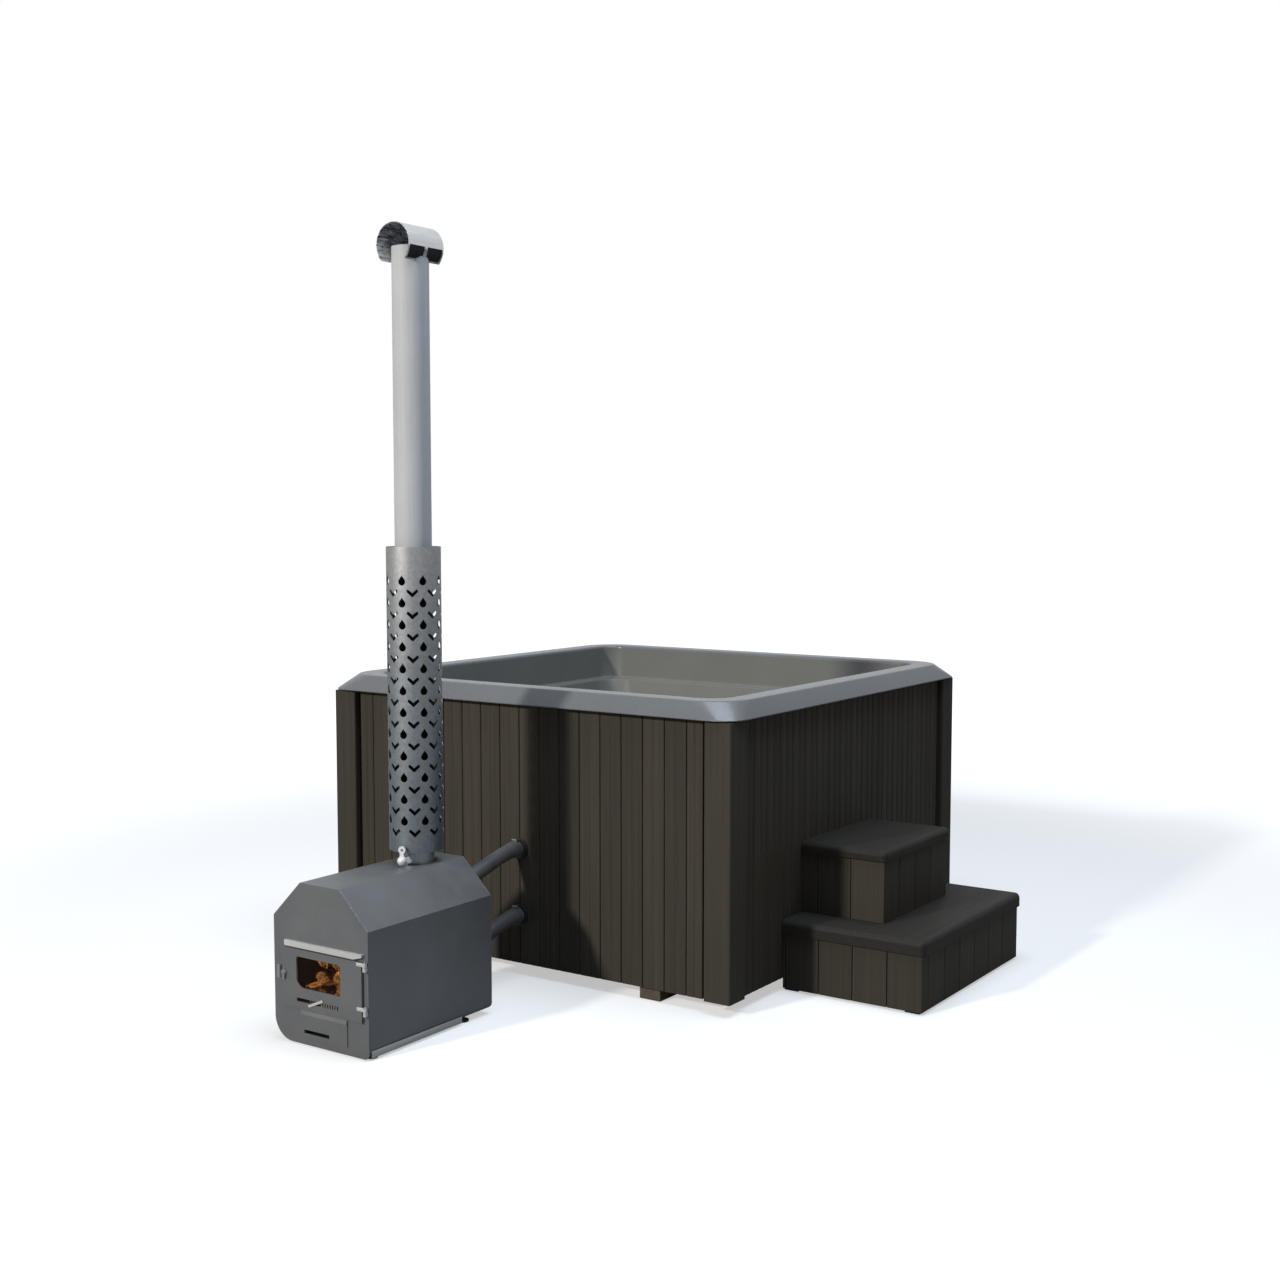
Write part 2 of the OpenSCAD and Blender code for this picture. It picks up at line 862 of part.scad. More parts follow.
// Solid of a hose from the stove to the tub, at the tub's height z: a cuff at each end and a slant
// between them, which starts and ends inside the cuffs
module hose_solid(cuff, r, z, over) {
    bar_y(cuff, 0, z - hose_fall, hose_start - over, hose_start + hose_straight);
    bar_y(cuff, 0, z, hose_end - hose_straight, hose_end + over);
    translate([0, hose_start + hose_straight - hose_sunk, z - hose_fall])
        rotate([hose_tilt - 90, 0, 0]) cylinder(r = r, h = hose_slant);
}

module hose(z)
    difference() {
        hose_solid(cuff_r, hose_r, z, 0);
        hose_solid(bore_r, bore_r - cuff_t, z, cut);
    }

module hot_hose() color(hose_color) hose(hot_z);

module cold_hose() color(hose_color) hose(cold_z);

// Worm-drive clamps on both ends of both hoses
module hose_clamp(y, z) {
    difference() {
        bar_y(cuff_r + clamp_t, 0, z, y, y + clamp_w);
        bar_y(cuff_r, 0, z, y - cut, y + clamp_w + cut);
    }
    difference() {
        bar_x(clamp_screw_r, y + clamp_w / 2, z + cuff_r + clamp_screw_r,
              -clamp_screw_l / 2, clamp_screw_l / 2);
        bar_y(cuff_r + clamp_t / 2, 0, z, y - cut, y + clamp_w + cut);
    }
}

module hose_clamps()
    color(bright_color)
    for (z = [hot_z, cold_z]) {
        hose_clamp(hose_start + clamp_inset, z - hose_fall);
        hose_clamp(hose_end - clamp_inset - clamp_w, z);
    }

// Drain in the foot well's back wall, with a ball valve outside
// Slotted flange over the drain, its face towards -Y
module drain_strainer()
    difference() {
        bar_y(drain_flange_r, drain_x, drain_z, well_at(drain_z) - well_flange_t - drain_flange_t,
              well_at(drain_z) - well_flange_t - seat_gap);
        for (i = [0:grid_count - 1])
            translate([drain_x + (i - (grid_count - 1) / 2) * grid_pitch - grid_w / 2,
                       well_at(drain_z) - well_flange_t - drain_flange_t - cut, drain_z - drain_r / 2])
                cube([grid_w, drain_flange_t + 2 * cut, drain_r]);
    }

module drain_pipe()
    color(plastic_color)
    pipe_y(drain_r, drain_wall, drain_x, drain_z, well_at(drain_z) - well_flange_t, valve_y0);

module drain_valve()
    color(brass_color)
    difference() {
        union() {
            bar_y(valve_r, drain_x, drain_z, valve_y0 + nut_l, valve_y0 + valve_l - nut_l);
            for (y = [valve_y0, valve_y0 + valve_l - nut_l])
                translate([drain_x, y + nut_l, drain_z]) rotate([90, 0, 0])
                    cylinder(r = nut_r, h = nut_l, $fn = 8);
            bar_y(drain_r, drain_x, drain_z, valve_y0 + valve_l, valve_y0 + valve_l + outlet_l);
            bar_z(stem_r, drain_x, valve_y0 + valve_l / 2, drain_z, drain_z + valve_r + stem_h);
        }
        bar_y(drain_r - drain_wall, drain_x, drain_z, valve_y0 - cut, valve_y0 + valve_l + outlet_l + cut);
    }

// Lever of the drain valve, shut: it lies across the pipe
module valve_lever()
    color("firebrick")
    difference() {
        translate([drain_x, valve_y0 + valve_l / 2, drain_z + valve_r + lever_lift])
            linear_extrude(lever_t)
                round_rect(-lever_w / 2, -lever_w / 2, lever_l, lever_w / 2, lever_w / 3);
        bar_z(stem_r + pin_gap, drain_x, valve_y0 + valve_l / 2, drain_z, drain_z + valve_r + stem_h + cut);
    }

// Steps
// A tread, square where it meets the tub at x0 and round along its three other upper edges
module tread(x0, y0, x1, y1, z0, z1) {
    r = nosing_r;
    block(x0, y0 + r, z0, x1 - r, y1 - r, z1);
    for (far = [0, 1])
        translate([x1 - r, far ? y1 - r : y0 + r, 0]) rotate([0, 0, far ? 0 : -90])
            rotate_extrude(angle = 90) tread_edge(z0, z1);
    translate([x1 - r, y1 - r, 0]) rotate([90, 0, 0]) linear_extrude(y1 - y0 - 2 * r) tread_edge(z0, z1);
    translate([x0, y1 - r, 0]) rotate([90, 0, 90]) linear_extrude(x1 - x0 - r) tread_edge(z0, z1);
    translate([x1 - r, y0 + r, 0]) rotate([90, 0, -90]) linear_extrude(x1 - x0 - r) tread_edge(z0, z1);
}

// Section of a tread's edge, from the round corner's centre outwards
module tread_edge(z0, z1) {
    translate([0, z0]) square([nosing_r, z1 - z0 - nosing_r]);
    intersection() {
        translate([0, z1 - nosing_r]) circle(nosing_r);
        translate([0, z1 - nosing_r]) square([nosing_r, nosing_r]);
    }
}

module lower_tread()
    color(clad_color)
    tread(step_x0, step_y0, step_x1, step_y1, low_under, riser_h);

module upper_tread()
    color(clad_color)
    tread(step_x0, top_y0, top_x1, top_y1, top_under, 2 * riser_h);

// A row of upright boards along a line of the length l, the last one cut to fit
module board_row(l, z0, z1)
    for (i = [0:ceil(l / step_board_w) - 1]) {
        x1 = l - i * step_board_w;
        x0 = max(0, x1 - step_board_w + board_gap);
        block(x0, 0, z0, x1, step_board_t, z1);
    }

// Boards round one tier: two ends and the riser, at the outline of its tread less the nosing
module tier_boards(x1, y0, y1, z0, z1) {
    run = x1 - nosing - step_x0;
    depth = y1 - y0 - 2 * nosing - 2 * step_board_t;
    translate([step_x0, y0 + nosing, 0]) board_row(run, z0, z1);
    translate([step_x0, y1 - nosing - step_board_t, 0]) board_row(run, z0, z1);
    translate([x1 - nosing, y0 + nosing + step_board_t, 0]) rotate([0, 0, 90]) board_row(depth, z0, z1);
}

module lower_step_boards()
    color(clad_color)
    tier_boards(step_x1, step_y0, step_y1, step_foot_h, low_under);

module upper_step_boards()
    color(clad_color)
    tier_boards(top_x1, top_y0, top_y1, riser_h, top_under);

// Timber frame inside one tier: legs in the corners and rails under the tread
module tier_frame(x1, y0, y1, z0, z1) {
    fx0 = step_x0;
    fx1 = x1 - nosing - step_board_t;
    fy0 = y0 + nosing + step_board_t;
    fy1 = y1 - nosing - step_board_t;
    for (y = [fy0, (fy0 + fy1 - step_timber) / 2, fy1 - step_timber]) {
        for (x = [fx0, fx1 - step_timber])
            block(x, y, z0, x + step_timber, y + step_timber, z1 - step_timber);
        block(fx0, y, z1 - step_timber, fx1, y + step_timber, z1);
    }
}

module step_frame()
    color(timber_color) {
        tier_frame(step_x1, step_y0, step_y1, step_foot_h, low_under);
        tier_frame(top_x1, top_y0, top_y1, riser_h, top_under);
    }

module step_feet()
    color(plastic_color) {
        fx1 = step_x1 - nosing - step_board_t;
        fy0 = step_y0 + nosing + step_board_t;
        fy1 = step_y1 - nosing - step_board_t;
        for (x = [step_x0, fx1 - step_foot_w], y = [fy0, (fy0 + fy1 - step_foot_w) / 2, fy1 - step_foot_w])
            block(x, y, 0, x + step_foot_w, y + step_foot_w, step_foot_h);
    }

// Stove
// Where the roof's slant meets a wall and a top that lie further in by i
roof_run = stove_half - flat_half;
roof_len = sqrt(roof_run * roof_run + roof_rise * roof_rise);
function inset_shoulder(i) = shoulder_z - i * (roof_len - roof_rise) / roof_run;
function inset_flat(i) = flat_half - i * (roof_len - roof_run) / roof_rise;

// Front outline of the stove, further in by i
module stove_section(i) {
    polygon([[-stove_half + i, stove_lift + stove_edge_r], [stove_half - i, stove_lift + stove_edge_r],
             [stove_half - i, inset_shoulder(i)], [inset_flat(i), stove_h - i],
             [-inset_flat(i), stove_h - i], [-stove_half + i, inset_shoulder(i)]]);
    translate([stove_edge_r - stove_half, stove_lift + i])
        square([stove_w - stove_edge_r - stove_right_r, stove_edge_r - i + cut]);
    translate([stove_half - stove_right_r - cut, stove_lift + stove_right_r])
        square([stove_right_r + cut - i, stove_edge_r - stove_right_r + cut]);
    translate([stove_edge_r - stove_half, stove_lift + stove_edge_r]) circle(stove_edge_r - i);
    translate([stove_half - stove_right_r, stove_lift + stove_right_r]) circle(stove_right_r - i);
}

module stove_casing()
    color(stove_color)
    difference() {
        plate_y(casing_y0, casing_y1) stove_section(0);
        plate_y(casing_y0 - cut, casing_y1 + cut) stove_section(sheet_t);
        bar_z(throat_r + hole_gap, 0, flue_y, stove_h - sheet_t - cut, stove_h + cut);
    }

// Front plate, which reaches lower than the casing and hides the feet
module stove_front_plate()
    color(stove_color)
    difference() {
        union() {
            plate_y(stove_front, casing_y0) stove_section(0);
            translate([0, 0, -apron_h]) plate_y(stove_front, casing_y0) stove_section(0);
        }
        block(mouth_x0, stove_front - cut, mouth_z0, mouth_x1, casing_y0 + cut, mouth_z1);
        block(drawer_x0 - drawer_clear, stove_front - cut, fire_z0 + fire_t,
              drawer_x1 + drawer_clear, casing_y0 + cut, drawer_z1 + drawer_clear);
    }

module stove_back_plate()
    color(stove_color)
    difference() {
        plate_y(casing_y1, stove_back) stove_section(0);
        for (z = [hot_stove_z, cold_stove_z])
            bar_y(stub_r + hole_gap, 0, z, casing_y1 - cut, stove_back + cut);
    }

module firebox()
    color(iron_color)
    difference() {
        union() {
            difference() {
                block(-fire_half, casing_y0, fire_z0, fire_half, fire_y1, fire_z1);
                block(fire_t - fire_half, casing_y0 - cut, fire_z0 + fire_t,
                      fire_half - fire_t, fire_y1 - fire_t, fire_z1 - fire_t);
            }
            for (side = [-1, 1])
                block(side > 0 ? fire_half - fire_t - grate_ledge : fire_t - fire_half, casing_y0,
                      grate_z - fire_t, side > 0 ? fire_half - fire_t : fire_t + grate_ledge - fire_half,
                      fire_y1 - fire_t, grate_z);
        }
        bar_z(throat_in, 0, flue_y, fire_z1 - fire_t - cut, fire_z1 + cut);
    }

// Cast grate with long slots, on the firebox's ledges
module fire_grate()
    color(iron_color)
    difference() {
        block(fire_t - fire_half + drawer_clear, casing_y0 + drawer_clear, grate_z,
              fire_half - fire_t - drawer_clear, fire_y1 - fire_t - drawer_clear, grate_z + grate_t);
        for (x = [grate_edge - fire_half:grate_pitch:fire_half - grate_edge])
            block(x - grate_slot / 2, casing_y0 + grate_edge, grate_z - cut,
                  x + grate_slot / 2, fire_y1 - grate_edge, grate_z + grate_t + cut);
    }

// Logs stacked in layers along the firebox, higher on the right
module firewood()
    color(log_color)
    for (layer = [0:len(log_layers) - 1], i = [log_layers[layer][0]:log_layers[layer][1]])
        translate([log_start + log_r - fire_half + i * (2 * log_r + log_gap),
                   casing_y0 + grate_edge + log_l,
                   grate_z + grate_t + log_flat + layer * (2 * log_flat + seat_gap)])
            rotate([90, 0, 0]) linear_extrude(log_l)
                polygon([for (i = [0:5]) [log_r * cos(60 * i), log_flat * sin(60 * i) / sin(60)]]);

module water_stubs()
    color(steel_color)
    for (z = [hot_stove_z, cold_stove_z])
        difference() {
            union() {
                bar_y(stub_r, 0, z, casing_y1 - plate_t, hose_start + stub_l);
                bar_y(weld_r, 0, z, stove_back, stove_back + weld_w);
            }
            bar_y(stub_r - pipe_t, 0, z, casing_y1 - plate_t - cut, hose_start + stub_l + cut);
        }

module stove_feet()
    color(plastic_color)
    for (x = [foot_left, foot_right], y = [stove_front + foot_front, stove_back - foot_rear]) {
        bar_z(foot_r, x, y, 0, foot_pad);
        bar_z(foot_stem_r, x, y, foot_pad, stove_lift);
    }

// Door
module window_outline()
    difference() {
        round_rect(window_x0, window_z0, window_x1, window_z1, window_r);
        difference() {
            translate([window_x0 - cut, window_z0 - cut]) square(window_big_r + cut);
            translate([window_x0 + window_big_r, window_z0 + window_big_r]) circle(window_big_r);
        }
    }

module door_plate()
    color(stove_color)
    difference() {
        union() {
            block(door_x0, door_face, door_z0, door_x1, door_back, door_z1);
            for (z = hinge_zs) {
                bar_z(knuckle_r, hinge_x, hinge_y, z, z + knuckle_h);
                block(door_x1 - cut, door_face, z, hinge_x, door_back, z + knuckle_h);
            }
        }
        plate_y(door_face - cut, door_back + cut) window_outline();
        block(slot_x0, door_face - cut, slot_z0, slot_x1, door_back + cut, slot_z1);
        bar_y(latch_pin_r + pin_gap, latch_x, latch_z, door_face - cut, door_back + cut);
        for (z = hinge_zs) bar_z(hinge_pin_r + pin_gap, hinge_x, hinge_y, z - cut, z + knuckle_h + cut);
    }

module door_glass()
    color(glass_color)
    plate_y(door_back, door_back + glass_t - seat_gap)
        round_rect(window_x0 - glass_lap, window_z0 - glass_lap, window_x1 + glass_lap,
                   window_z1 + glass_lap, window_r);

// Frame that holds the glass against the door plate, stepped over the glass
module glass_frame()
    color(iron_color)
    difference() {
        plate_y(door_back, door_back + glass_t + frame_t)
            round_rect(window_x0 - frame_reach, window_z0 - frame_reach, window_x1 + frame_reach,
                       window_z1 + frame_reach, window_r);
        plate_y(door_back - cut, door_back + glass_t)
            round_rect(window_x0 - glass_lap - seat_gap, window_z0 - glass_lap - seat_gap,
                       window_x1 + glass_lap + seat_gap, window_z1 + glass_lap + seat_gap, window_r);
        plate_y(door_back, door_back + glass_t + frame_t + cut)
            round_rect(window_x0 - glass_lap + frame_lap, window_z0 - glass_lap + frame_lap,
                       window_x1 + glass_lap - frame_lap, window_z1 + glass_lap - frame_lap, window_r);
    }

module door_seal()
    color(rope_color)
    difference() {
        plate_y(door_back, door_back + seal_t)
            round_rect(door_x0 + seal_left, door_z0 + seal_inset, door_x1 - seal_right,
                       door_z1 - seal_inset, seal_w);
        plate_y(door_back - cut, door_back + seal_t + cut)
            square_hole(door_x0 + seal_left + seal_w, door_z0 + seal_inset + seal_w,
                        door_x1 - seal_right - seal_w, door_z1 - seal_inset - seal_w);
    }

// A plain rectangle between two corners
module square_hole(x0, y0, x1, y1) translate([x0, y0]) square([x1 - x0, y1 - y0]);

// Lower knuckle of each hinge, on its arm, with the pin that the door's knuckle hangs on
module hinge_brackets()
    color(bright_color)
    for (z = hinge_zs) {
        bar_z(knuckle_r, hinge_x, hinge_y, z - seat_gap - knuckle_h, z - seat_gap);
        block(hinge_x - hinge_arm / 2, hinge_y, z - seat_gap - knuckle_h,
              hinge_x + hinge_arm / 2, stove_front, z - seat_gap);
        bar_z(hinge_pin_r, hinge_x, hinge_y, z - seat_gap - knuckle_h, z + knuckle_h + pin_head);
    }

// Turning latch: a tongue behind the keeper at one side of the pivot and a grip that hangs down
module door_latch()
    color(bright_color) {
        block(door_x0 - latch_reach, latch_y0, latch_z - latch_h / 2,
              latch_x, latch_y1, latch_z + latch_h / 2);
        bar_y(latch_boss_r, latch_x, latch_z, latch_y0, latch_y1);
        bar_y(latch_pin_r, latch_x, latch_z, latch_y1, door_back + latch_t);
        bar_z(grip_r, latch_x, latch_y1 - grip_r, latch_z - grip_l, latch_z);
    }

module latch_keeper()
    color(bright_color) {
        block(keeper_x1 - keeper_w, latch_y0 - seat_gap, latch_z + latch_h / 2 + seat_gap,
              keeper_x1, stove_front, latch_z + keeper_h / 2);
        block(keeper_x1 - keeper_w, latch_y0 - seat_gap - keeper_t, latch_z - keeper_h / 2,
              keeper_x1, latch_y0 - seat_gap, latch_z + keeper_h / 2);
    }

// Bright folded lip on the front plate over the door
module heat_lip()
    color(bright_color)
    difference() {
        plate_y(stove_front - lip_out, stove_front)
            polygon([[lip_x0, lip_z0], [lip_x0 + lip_l - lip_bevel_l, lip_z0],
                     [lip_x0 + lip_l, lip_z0 + lip_bevel_h], [lip_x0 + lip_l, lip_z1], [lip_x0, lip_z1]]);
        block(lip_x0 - cut, stove_front - lip_out + lip_sheet, lip_z0 - cut,
              lip_x0 + lip_l + cut, stove_front - lip_sheet, lip_z1 - lip_sheet);
    }

// Upright slats in the end of the air slot
module air_grille()
    color(iron_color)
    for (i = [0:slat_count - 1]) {
        pitch = (slot_x1 - grille_x0) / slat_count;
        block(grille_x0 + i * pitch, door_face, slot_z0, grille_x0 + (i + 0.5) * pitch, door_back, slot_z1);
    }

// Plate behind the slot, with a stem through it and a slanted tongue in front
module air_slider()
    color(bright_color) {
        block(slider_x - tongue_l / 2, door_back + seat_gap, slot_z0 - slider_lap,
              slider_x + tongue_l / 2, door_back + seat_gap + slider_t, slot_z1 + slider_lap);
        block(slider_x - stem_half, door_face - seat_gap - tongue_t, slot_z0 + seat_gap,
              slider_x + stem_half, door_back + seat_gap + slider_t, slot_z1 - seat_gap);
        translate([slider_x, 0, (slot_z0 + slot_z1) / 2]) rotate([0, -tongue_slant, 0])
            block(-tongue_l / 2, door_face - seat_gap - tongue_t, -tongue_h / 2,
                  tongue_l / 2, door_face - seat_gap, tongue_h / 2);
    }

// Ash drawer
// The finger slot, right through the drawer's front and the wall behind it
module finger_slot()
    block(finger_x0, front_face - cut, drawer_z0 + finger_lift,
          finger_x0 + finger_w, stove_front + drawer_t + cut, drawer_z0 + finger_lift + finger_h);

module ash_drawer()
    color(steel_color)
    difference() {
        block(drawer_x0, stove_front, drawer_z0, drawer_x1, stove_front + drawer_l, drawer_z1);
        block(drawer_x0 + drawer_t, stove_front + drawer_t, drawer_z0 + drawer_t,
              drawer_x1 - drawer_t, stove_front + drawer_l - drawer_t, drawer_z1 + cut);
        finger_slot();
    }

module drawer_front()
    color(stove_color)
    difference() {
        union() {
            block(drawer_x0 - front_lap, front_face, drawer_z0 - front_lap / 2,
                  drawer_x1 + front_lap, stove_front - seat_gap, front_top);
            translate([drawer_x0 - front_lap, front_face, front_top])
                rotate([90, 0, 90])
                linear_extrude(drawer_w + 2 * front_lap)
                polygon([[0, 0], [-drawer_lip_out, -drawer_lip_h], [0, -drawer_lip_h]]);
            block(drawer_x0, stove_front - seat_gap, drawer_z0, drawer_x1, stove_front, drawer_z1);
        }
        finger_slot();
    }

// Chimney
// The damper's parts, turned about the flue's axis
module about_flue()
    translate([0, flue_y, 0]) rotate([0, 0, damper_turn]) translate([0, -flue_y, 0]) children();

// A pipe along Z on the flue's axis
module flue(r, t, z0, z1)
    difference() {
        bar_z(r, 0, flue_y, z0, z1);
        bar_z(r - t, 0, flue_y, z0 - cut, z1 + cut);
    }

module flue_throat() color(stove_color) flue(throat_r, throat_t, fire_z1, stove_h + throat_h);

module flue_collar()
    color(stove_color) flue(collar_r, collar_r - throat_r - hole_gap, stove_h, stove_h + collar_t);

module lower_flue()
    color(steel_color)
    difference() {
        flue(lower_r, flue_t, flue_z0, joint_z + flue_lap);
        about_flue() bar_y(spindle_r + pin_gap, 0, damper_z, flue_y - flue_r - cut, flue_y + flue_r + cut);
    }

module upper_flue() color(steel_color) flue(flue_r, flue_t, joint_z, flue_top);

// Perforated sleeve: rows of upright diamonds, each row turned by half a step
module heat_shield()
    color(galv_color)
    difference() {
        flue(shield_r, shield_t, shield_z0, shield_z1);
        for (row = [0:hole_rows - 1], i = [0:holes_per_row - 1])
            translate([0, flue_y, shield_z0 + hole_start + row * hole_pitch])
                rotate([0, 0, (i + (row % 2) / 2) * 360 / holes_per_row])
                    rotate([90, 0, 0]) linear_extrude(shield_r + cut)
                        polygon([[-hole_r * hole_width_share, 0], [0, -hole_r],
                                 [hole_r * hole_width_share, 0], [0, hole_r]]);
    }

module shield_spacers()
    color(galv_color)
    for (share = spacer_shares, i = [0:spacer_count - 1])
        translate([0, flue_y, shield_z0 + shield_l * share])
            rotate([0, 0, spacer_turn + i * 360 / spacer_count])
                intersection() {
                    block(lower_r / 2, -spacer_w / 2, -spacer_h / 2, shield_r, spacer_w / 2, spacer_h / 2);
                    difference() {
                        cylinder(r = shield_r - shield_t, h = spacer_h, center = true);
                        cylinder(r = lower_r, h = 2 * spacer_h, center = true);
                    }
                }

// Damper: a round plate on a spindle, open at rest, so it stands upright in the flue
module damper_plate()
    color(iron_color)
    about_flue() bar_x(damper_r, flue_y, damper_z, spindle_r, spindle_r + damper_t);

module damper_handle()
    color(bright_color)
    about_flue() {
        bar_y(spindle_r, 0, damper_z, handle_y, flue_y + lower_r + spindle_tail);
        difference() {
            union() {
                block(-handle_w / 2, handle_y - handle_t, damper_z - handle_down, handle_w / 2, handle_y,
                      damper_z + handle_up);
                bar_y(eye_r, 0, damper_z + handle_up, handle_y - handle_t, handle_y);
            }
            bar_y(eye_hole_r, 0, damper_z + handle_up, handle_y - handle_t - cut, handle_y + cut);
        }
        translate([0, handle_y - handle_t / 2, damper_z - handle_down]) sphere(knob_r);
    }

// Cowl: a sheet barrel across the top of the flue, open at both ends and below, with two openings
// in its right side
module flue_cowl()
    color(bright_color)
    difference() {
        bar_y(cowl_r, 0, cowl_z, flue_y - cowl_l / 2, flue_y + cowl_l / 2);
        bar_y(cowl_r - cowl_t, 0, cowl_z, flue_y - cowl_l / 2 - cut, flue_y + cowl_l / 2 + cut);
        block(-cowl_r - cut, flue_y - cowl_l / 2 - cut, cowl_z - cowl_r - cut,
              cowl_r + cut, flue_y + cowl_l / 2 + cut, cowl_z - cowl_r * cowl_cut_share);
        bar_z(flue_r + seat_gap, 0, flue_y, cowl_z - cowl_r - cut, cowl_z);
        for (near = [flue_y + side_strap - cowl_l / 2, flue_y + bracket_w / 2])
            block(0, near, cowl_z - side_strap - side_window_h, cowl_r + cut,
                  near + (cowl_l - bracket_w) / 2 - side_strap, cowl_z - side_strap);
    }

module cowl_brackets()
    color(bright_color)
    for (side = [-1, 1])
        intersection() {
            block(side > 0 ? 0 : -cowl_r, flue_y - bracket_w / 2, cowl_z - bracket_h,
                  side > 0 ? cowl_r : 0, flue_y + bracket_w / 2, cowl_z);
            difference() {
                bar_y(cowl_r - cowl_t, 0, cowl_z, flue_y - cowl_l / 2, flue_y + cowl_l / 2);
                bar_z(flue_r, 0, flue_y, cowl_z - cowl_r, cowl_z + cut);
            }
        }

base_bearers();
floor_joists();
floor_deck();
bottom_rails();
wall_studs();
top_rails();
wall_insulation();
front_cladding();
right_cladding();
back_cladding();
left_cladding();
corner_posts();
rim_moulding();
seat_moulding();
well_moulding();
well_covers();
drain_pipe();
drain_valve();
valve_lever();
wall_unions();
under_seat_pipes();
hot_hose();
cold_hose();
hose_clamps();
step_feet();
step_frame();
lower_step_boards();
upper_step_boards();
lower_tread();
upper_tread();
stove_feet();
stove_casing();
stove_front_plate();
stove_back_plate();
firebox();
fire_grate();
firewood();
water_stubs();
door_plate();
door_glass();
glass_frame();
door_seal();
hinge_brackets();
door_latch();
latch_keeper();
heat_lip();
air_grille();
air_slider();
ash_drawer();
drawer_front();
flue_throat();
flue_collar();
lower_flue();
upper_flue();
heat_shield();
shield_spacers();
damper_plate();
damper_handle();
flue_cowl();
cowl_brackets();
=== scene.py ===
import json
import math

import bmesh
import bpy
import numpy as np
from mathutils import Matrix, Vector, noise

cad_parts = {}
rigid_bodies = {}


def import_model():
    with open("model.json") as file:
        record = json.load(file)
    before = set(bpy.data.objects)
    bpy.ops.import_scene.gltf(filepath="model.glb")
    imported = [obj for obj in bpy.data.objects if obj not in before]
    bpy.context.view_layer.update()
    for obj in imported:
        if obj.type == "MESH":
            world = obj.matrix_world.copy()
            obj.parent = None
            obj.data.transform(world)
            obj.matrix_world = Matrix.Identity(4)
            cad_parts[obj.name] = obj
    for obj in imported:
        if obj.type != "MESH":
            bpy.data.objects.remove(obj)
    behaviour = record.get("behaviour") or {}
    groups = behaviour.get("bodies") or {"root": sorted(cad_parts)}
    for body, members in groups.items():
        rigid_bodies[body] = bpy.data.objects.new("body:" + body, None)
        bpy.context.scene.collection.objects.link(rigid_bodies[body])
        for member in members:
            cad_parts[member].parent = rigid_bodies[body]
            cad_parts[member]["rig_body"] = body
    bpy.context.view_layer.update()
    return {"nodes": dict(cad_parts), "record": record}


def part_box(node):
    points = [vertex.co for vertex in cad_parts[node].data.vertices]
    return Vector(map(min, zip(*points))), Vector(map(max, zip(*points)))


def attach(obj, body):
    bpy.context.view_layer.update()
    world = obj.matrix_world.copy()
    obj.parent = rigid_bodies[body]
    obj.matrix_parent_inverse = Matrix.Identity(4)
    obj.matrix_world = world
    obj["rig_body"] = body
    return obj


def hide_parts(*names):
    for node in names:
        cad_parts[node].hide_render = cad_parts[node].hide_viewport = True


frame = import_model()
NODES = frame["nodes"]
SLOTS = {sub["node"]: sub["material_slot"] for sub in frame["record"]["subparts"]}
rng = np.random.default_rng(7)


# Objects and meshes
def new_object(name, data):
    """A new object in the scene's collection."""
    o = bpy.data.objects.new(name, data)
    bpy.context.scene.collection.objects.link(o)
    return o


def new_mesh(name, bm):
    """A mesh from a bmesh, which is used up."""
    me = bpy.data.meshes.new(name)
    bm.to_mesh(me)
    bm.free()
    return me


# Camera at the photograph's angle
LENS_MM = 45.675
SENSOR_MM = 36
CAMERA_PLACE = (4.034, -6.032, 1.875)
CAMERA_DOWN = 4.56
CAMERA_TURN = 34.31
cam_data = bpy.data.cameras.new("camera")
cam_data.lens = LENS_MM
cam_data.sensor_width = SENSOR_MM
camera = new_object("camera", cam_data)
camera.location = CAMERA_PLACE
camera.rotation_euler = (math.radians(90 - CAMERA_DOWN), 0, math.radians(CAMERA_TURN))
bpy.context.scene.camera = camera


# Helpers
def lin(r, g, b):
    """An sRGB colour in 0 to 255 as a linear colour."""
    def one(level):
        v = level / 255
        return v / 12.92 if v <= 0.04045 else ((v + 0.055) / 1.055) ** 2.4
    return one(r), one(g), one(b), 1.0


def piece(name, me, body, mat, smooth=True):
    """A new object from a mesh, which rides on a body and has a material."""
    for p in me.polygons:
        p.use_smooth = smooth
    o = new_object(name, me)
    me.materials.append(mat)
    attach(o, body)
    return o


def from_bm(name, bm, body, mat, smooth=True):
    """A new object from a bmesh, with its faces turned outwards."""
    bmesh.ops.recalc_face_normals(bm, faces=bm.faces)
    return piece(name, new_mesh(name, bm), body, mat, smooth)


def sharp_by_angle(me, degrees):
    """Marks the edges that are sharper than the angle, so the rest shades smoothly."""
    bm = bmesh.new()
    bm.from_mesh(me)
    limit = math.radians(degrees)
    for e in bm.edges:
        e.smooth = len(e.link_faces) == 2 and e.calc_face_angle(0) < limit
    for f in bm.faces:
        f.smooth = True
    bm.to_mesh(me)
    bm.free()


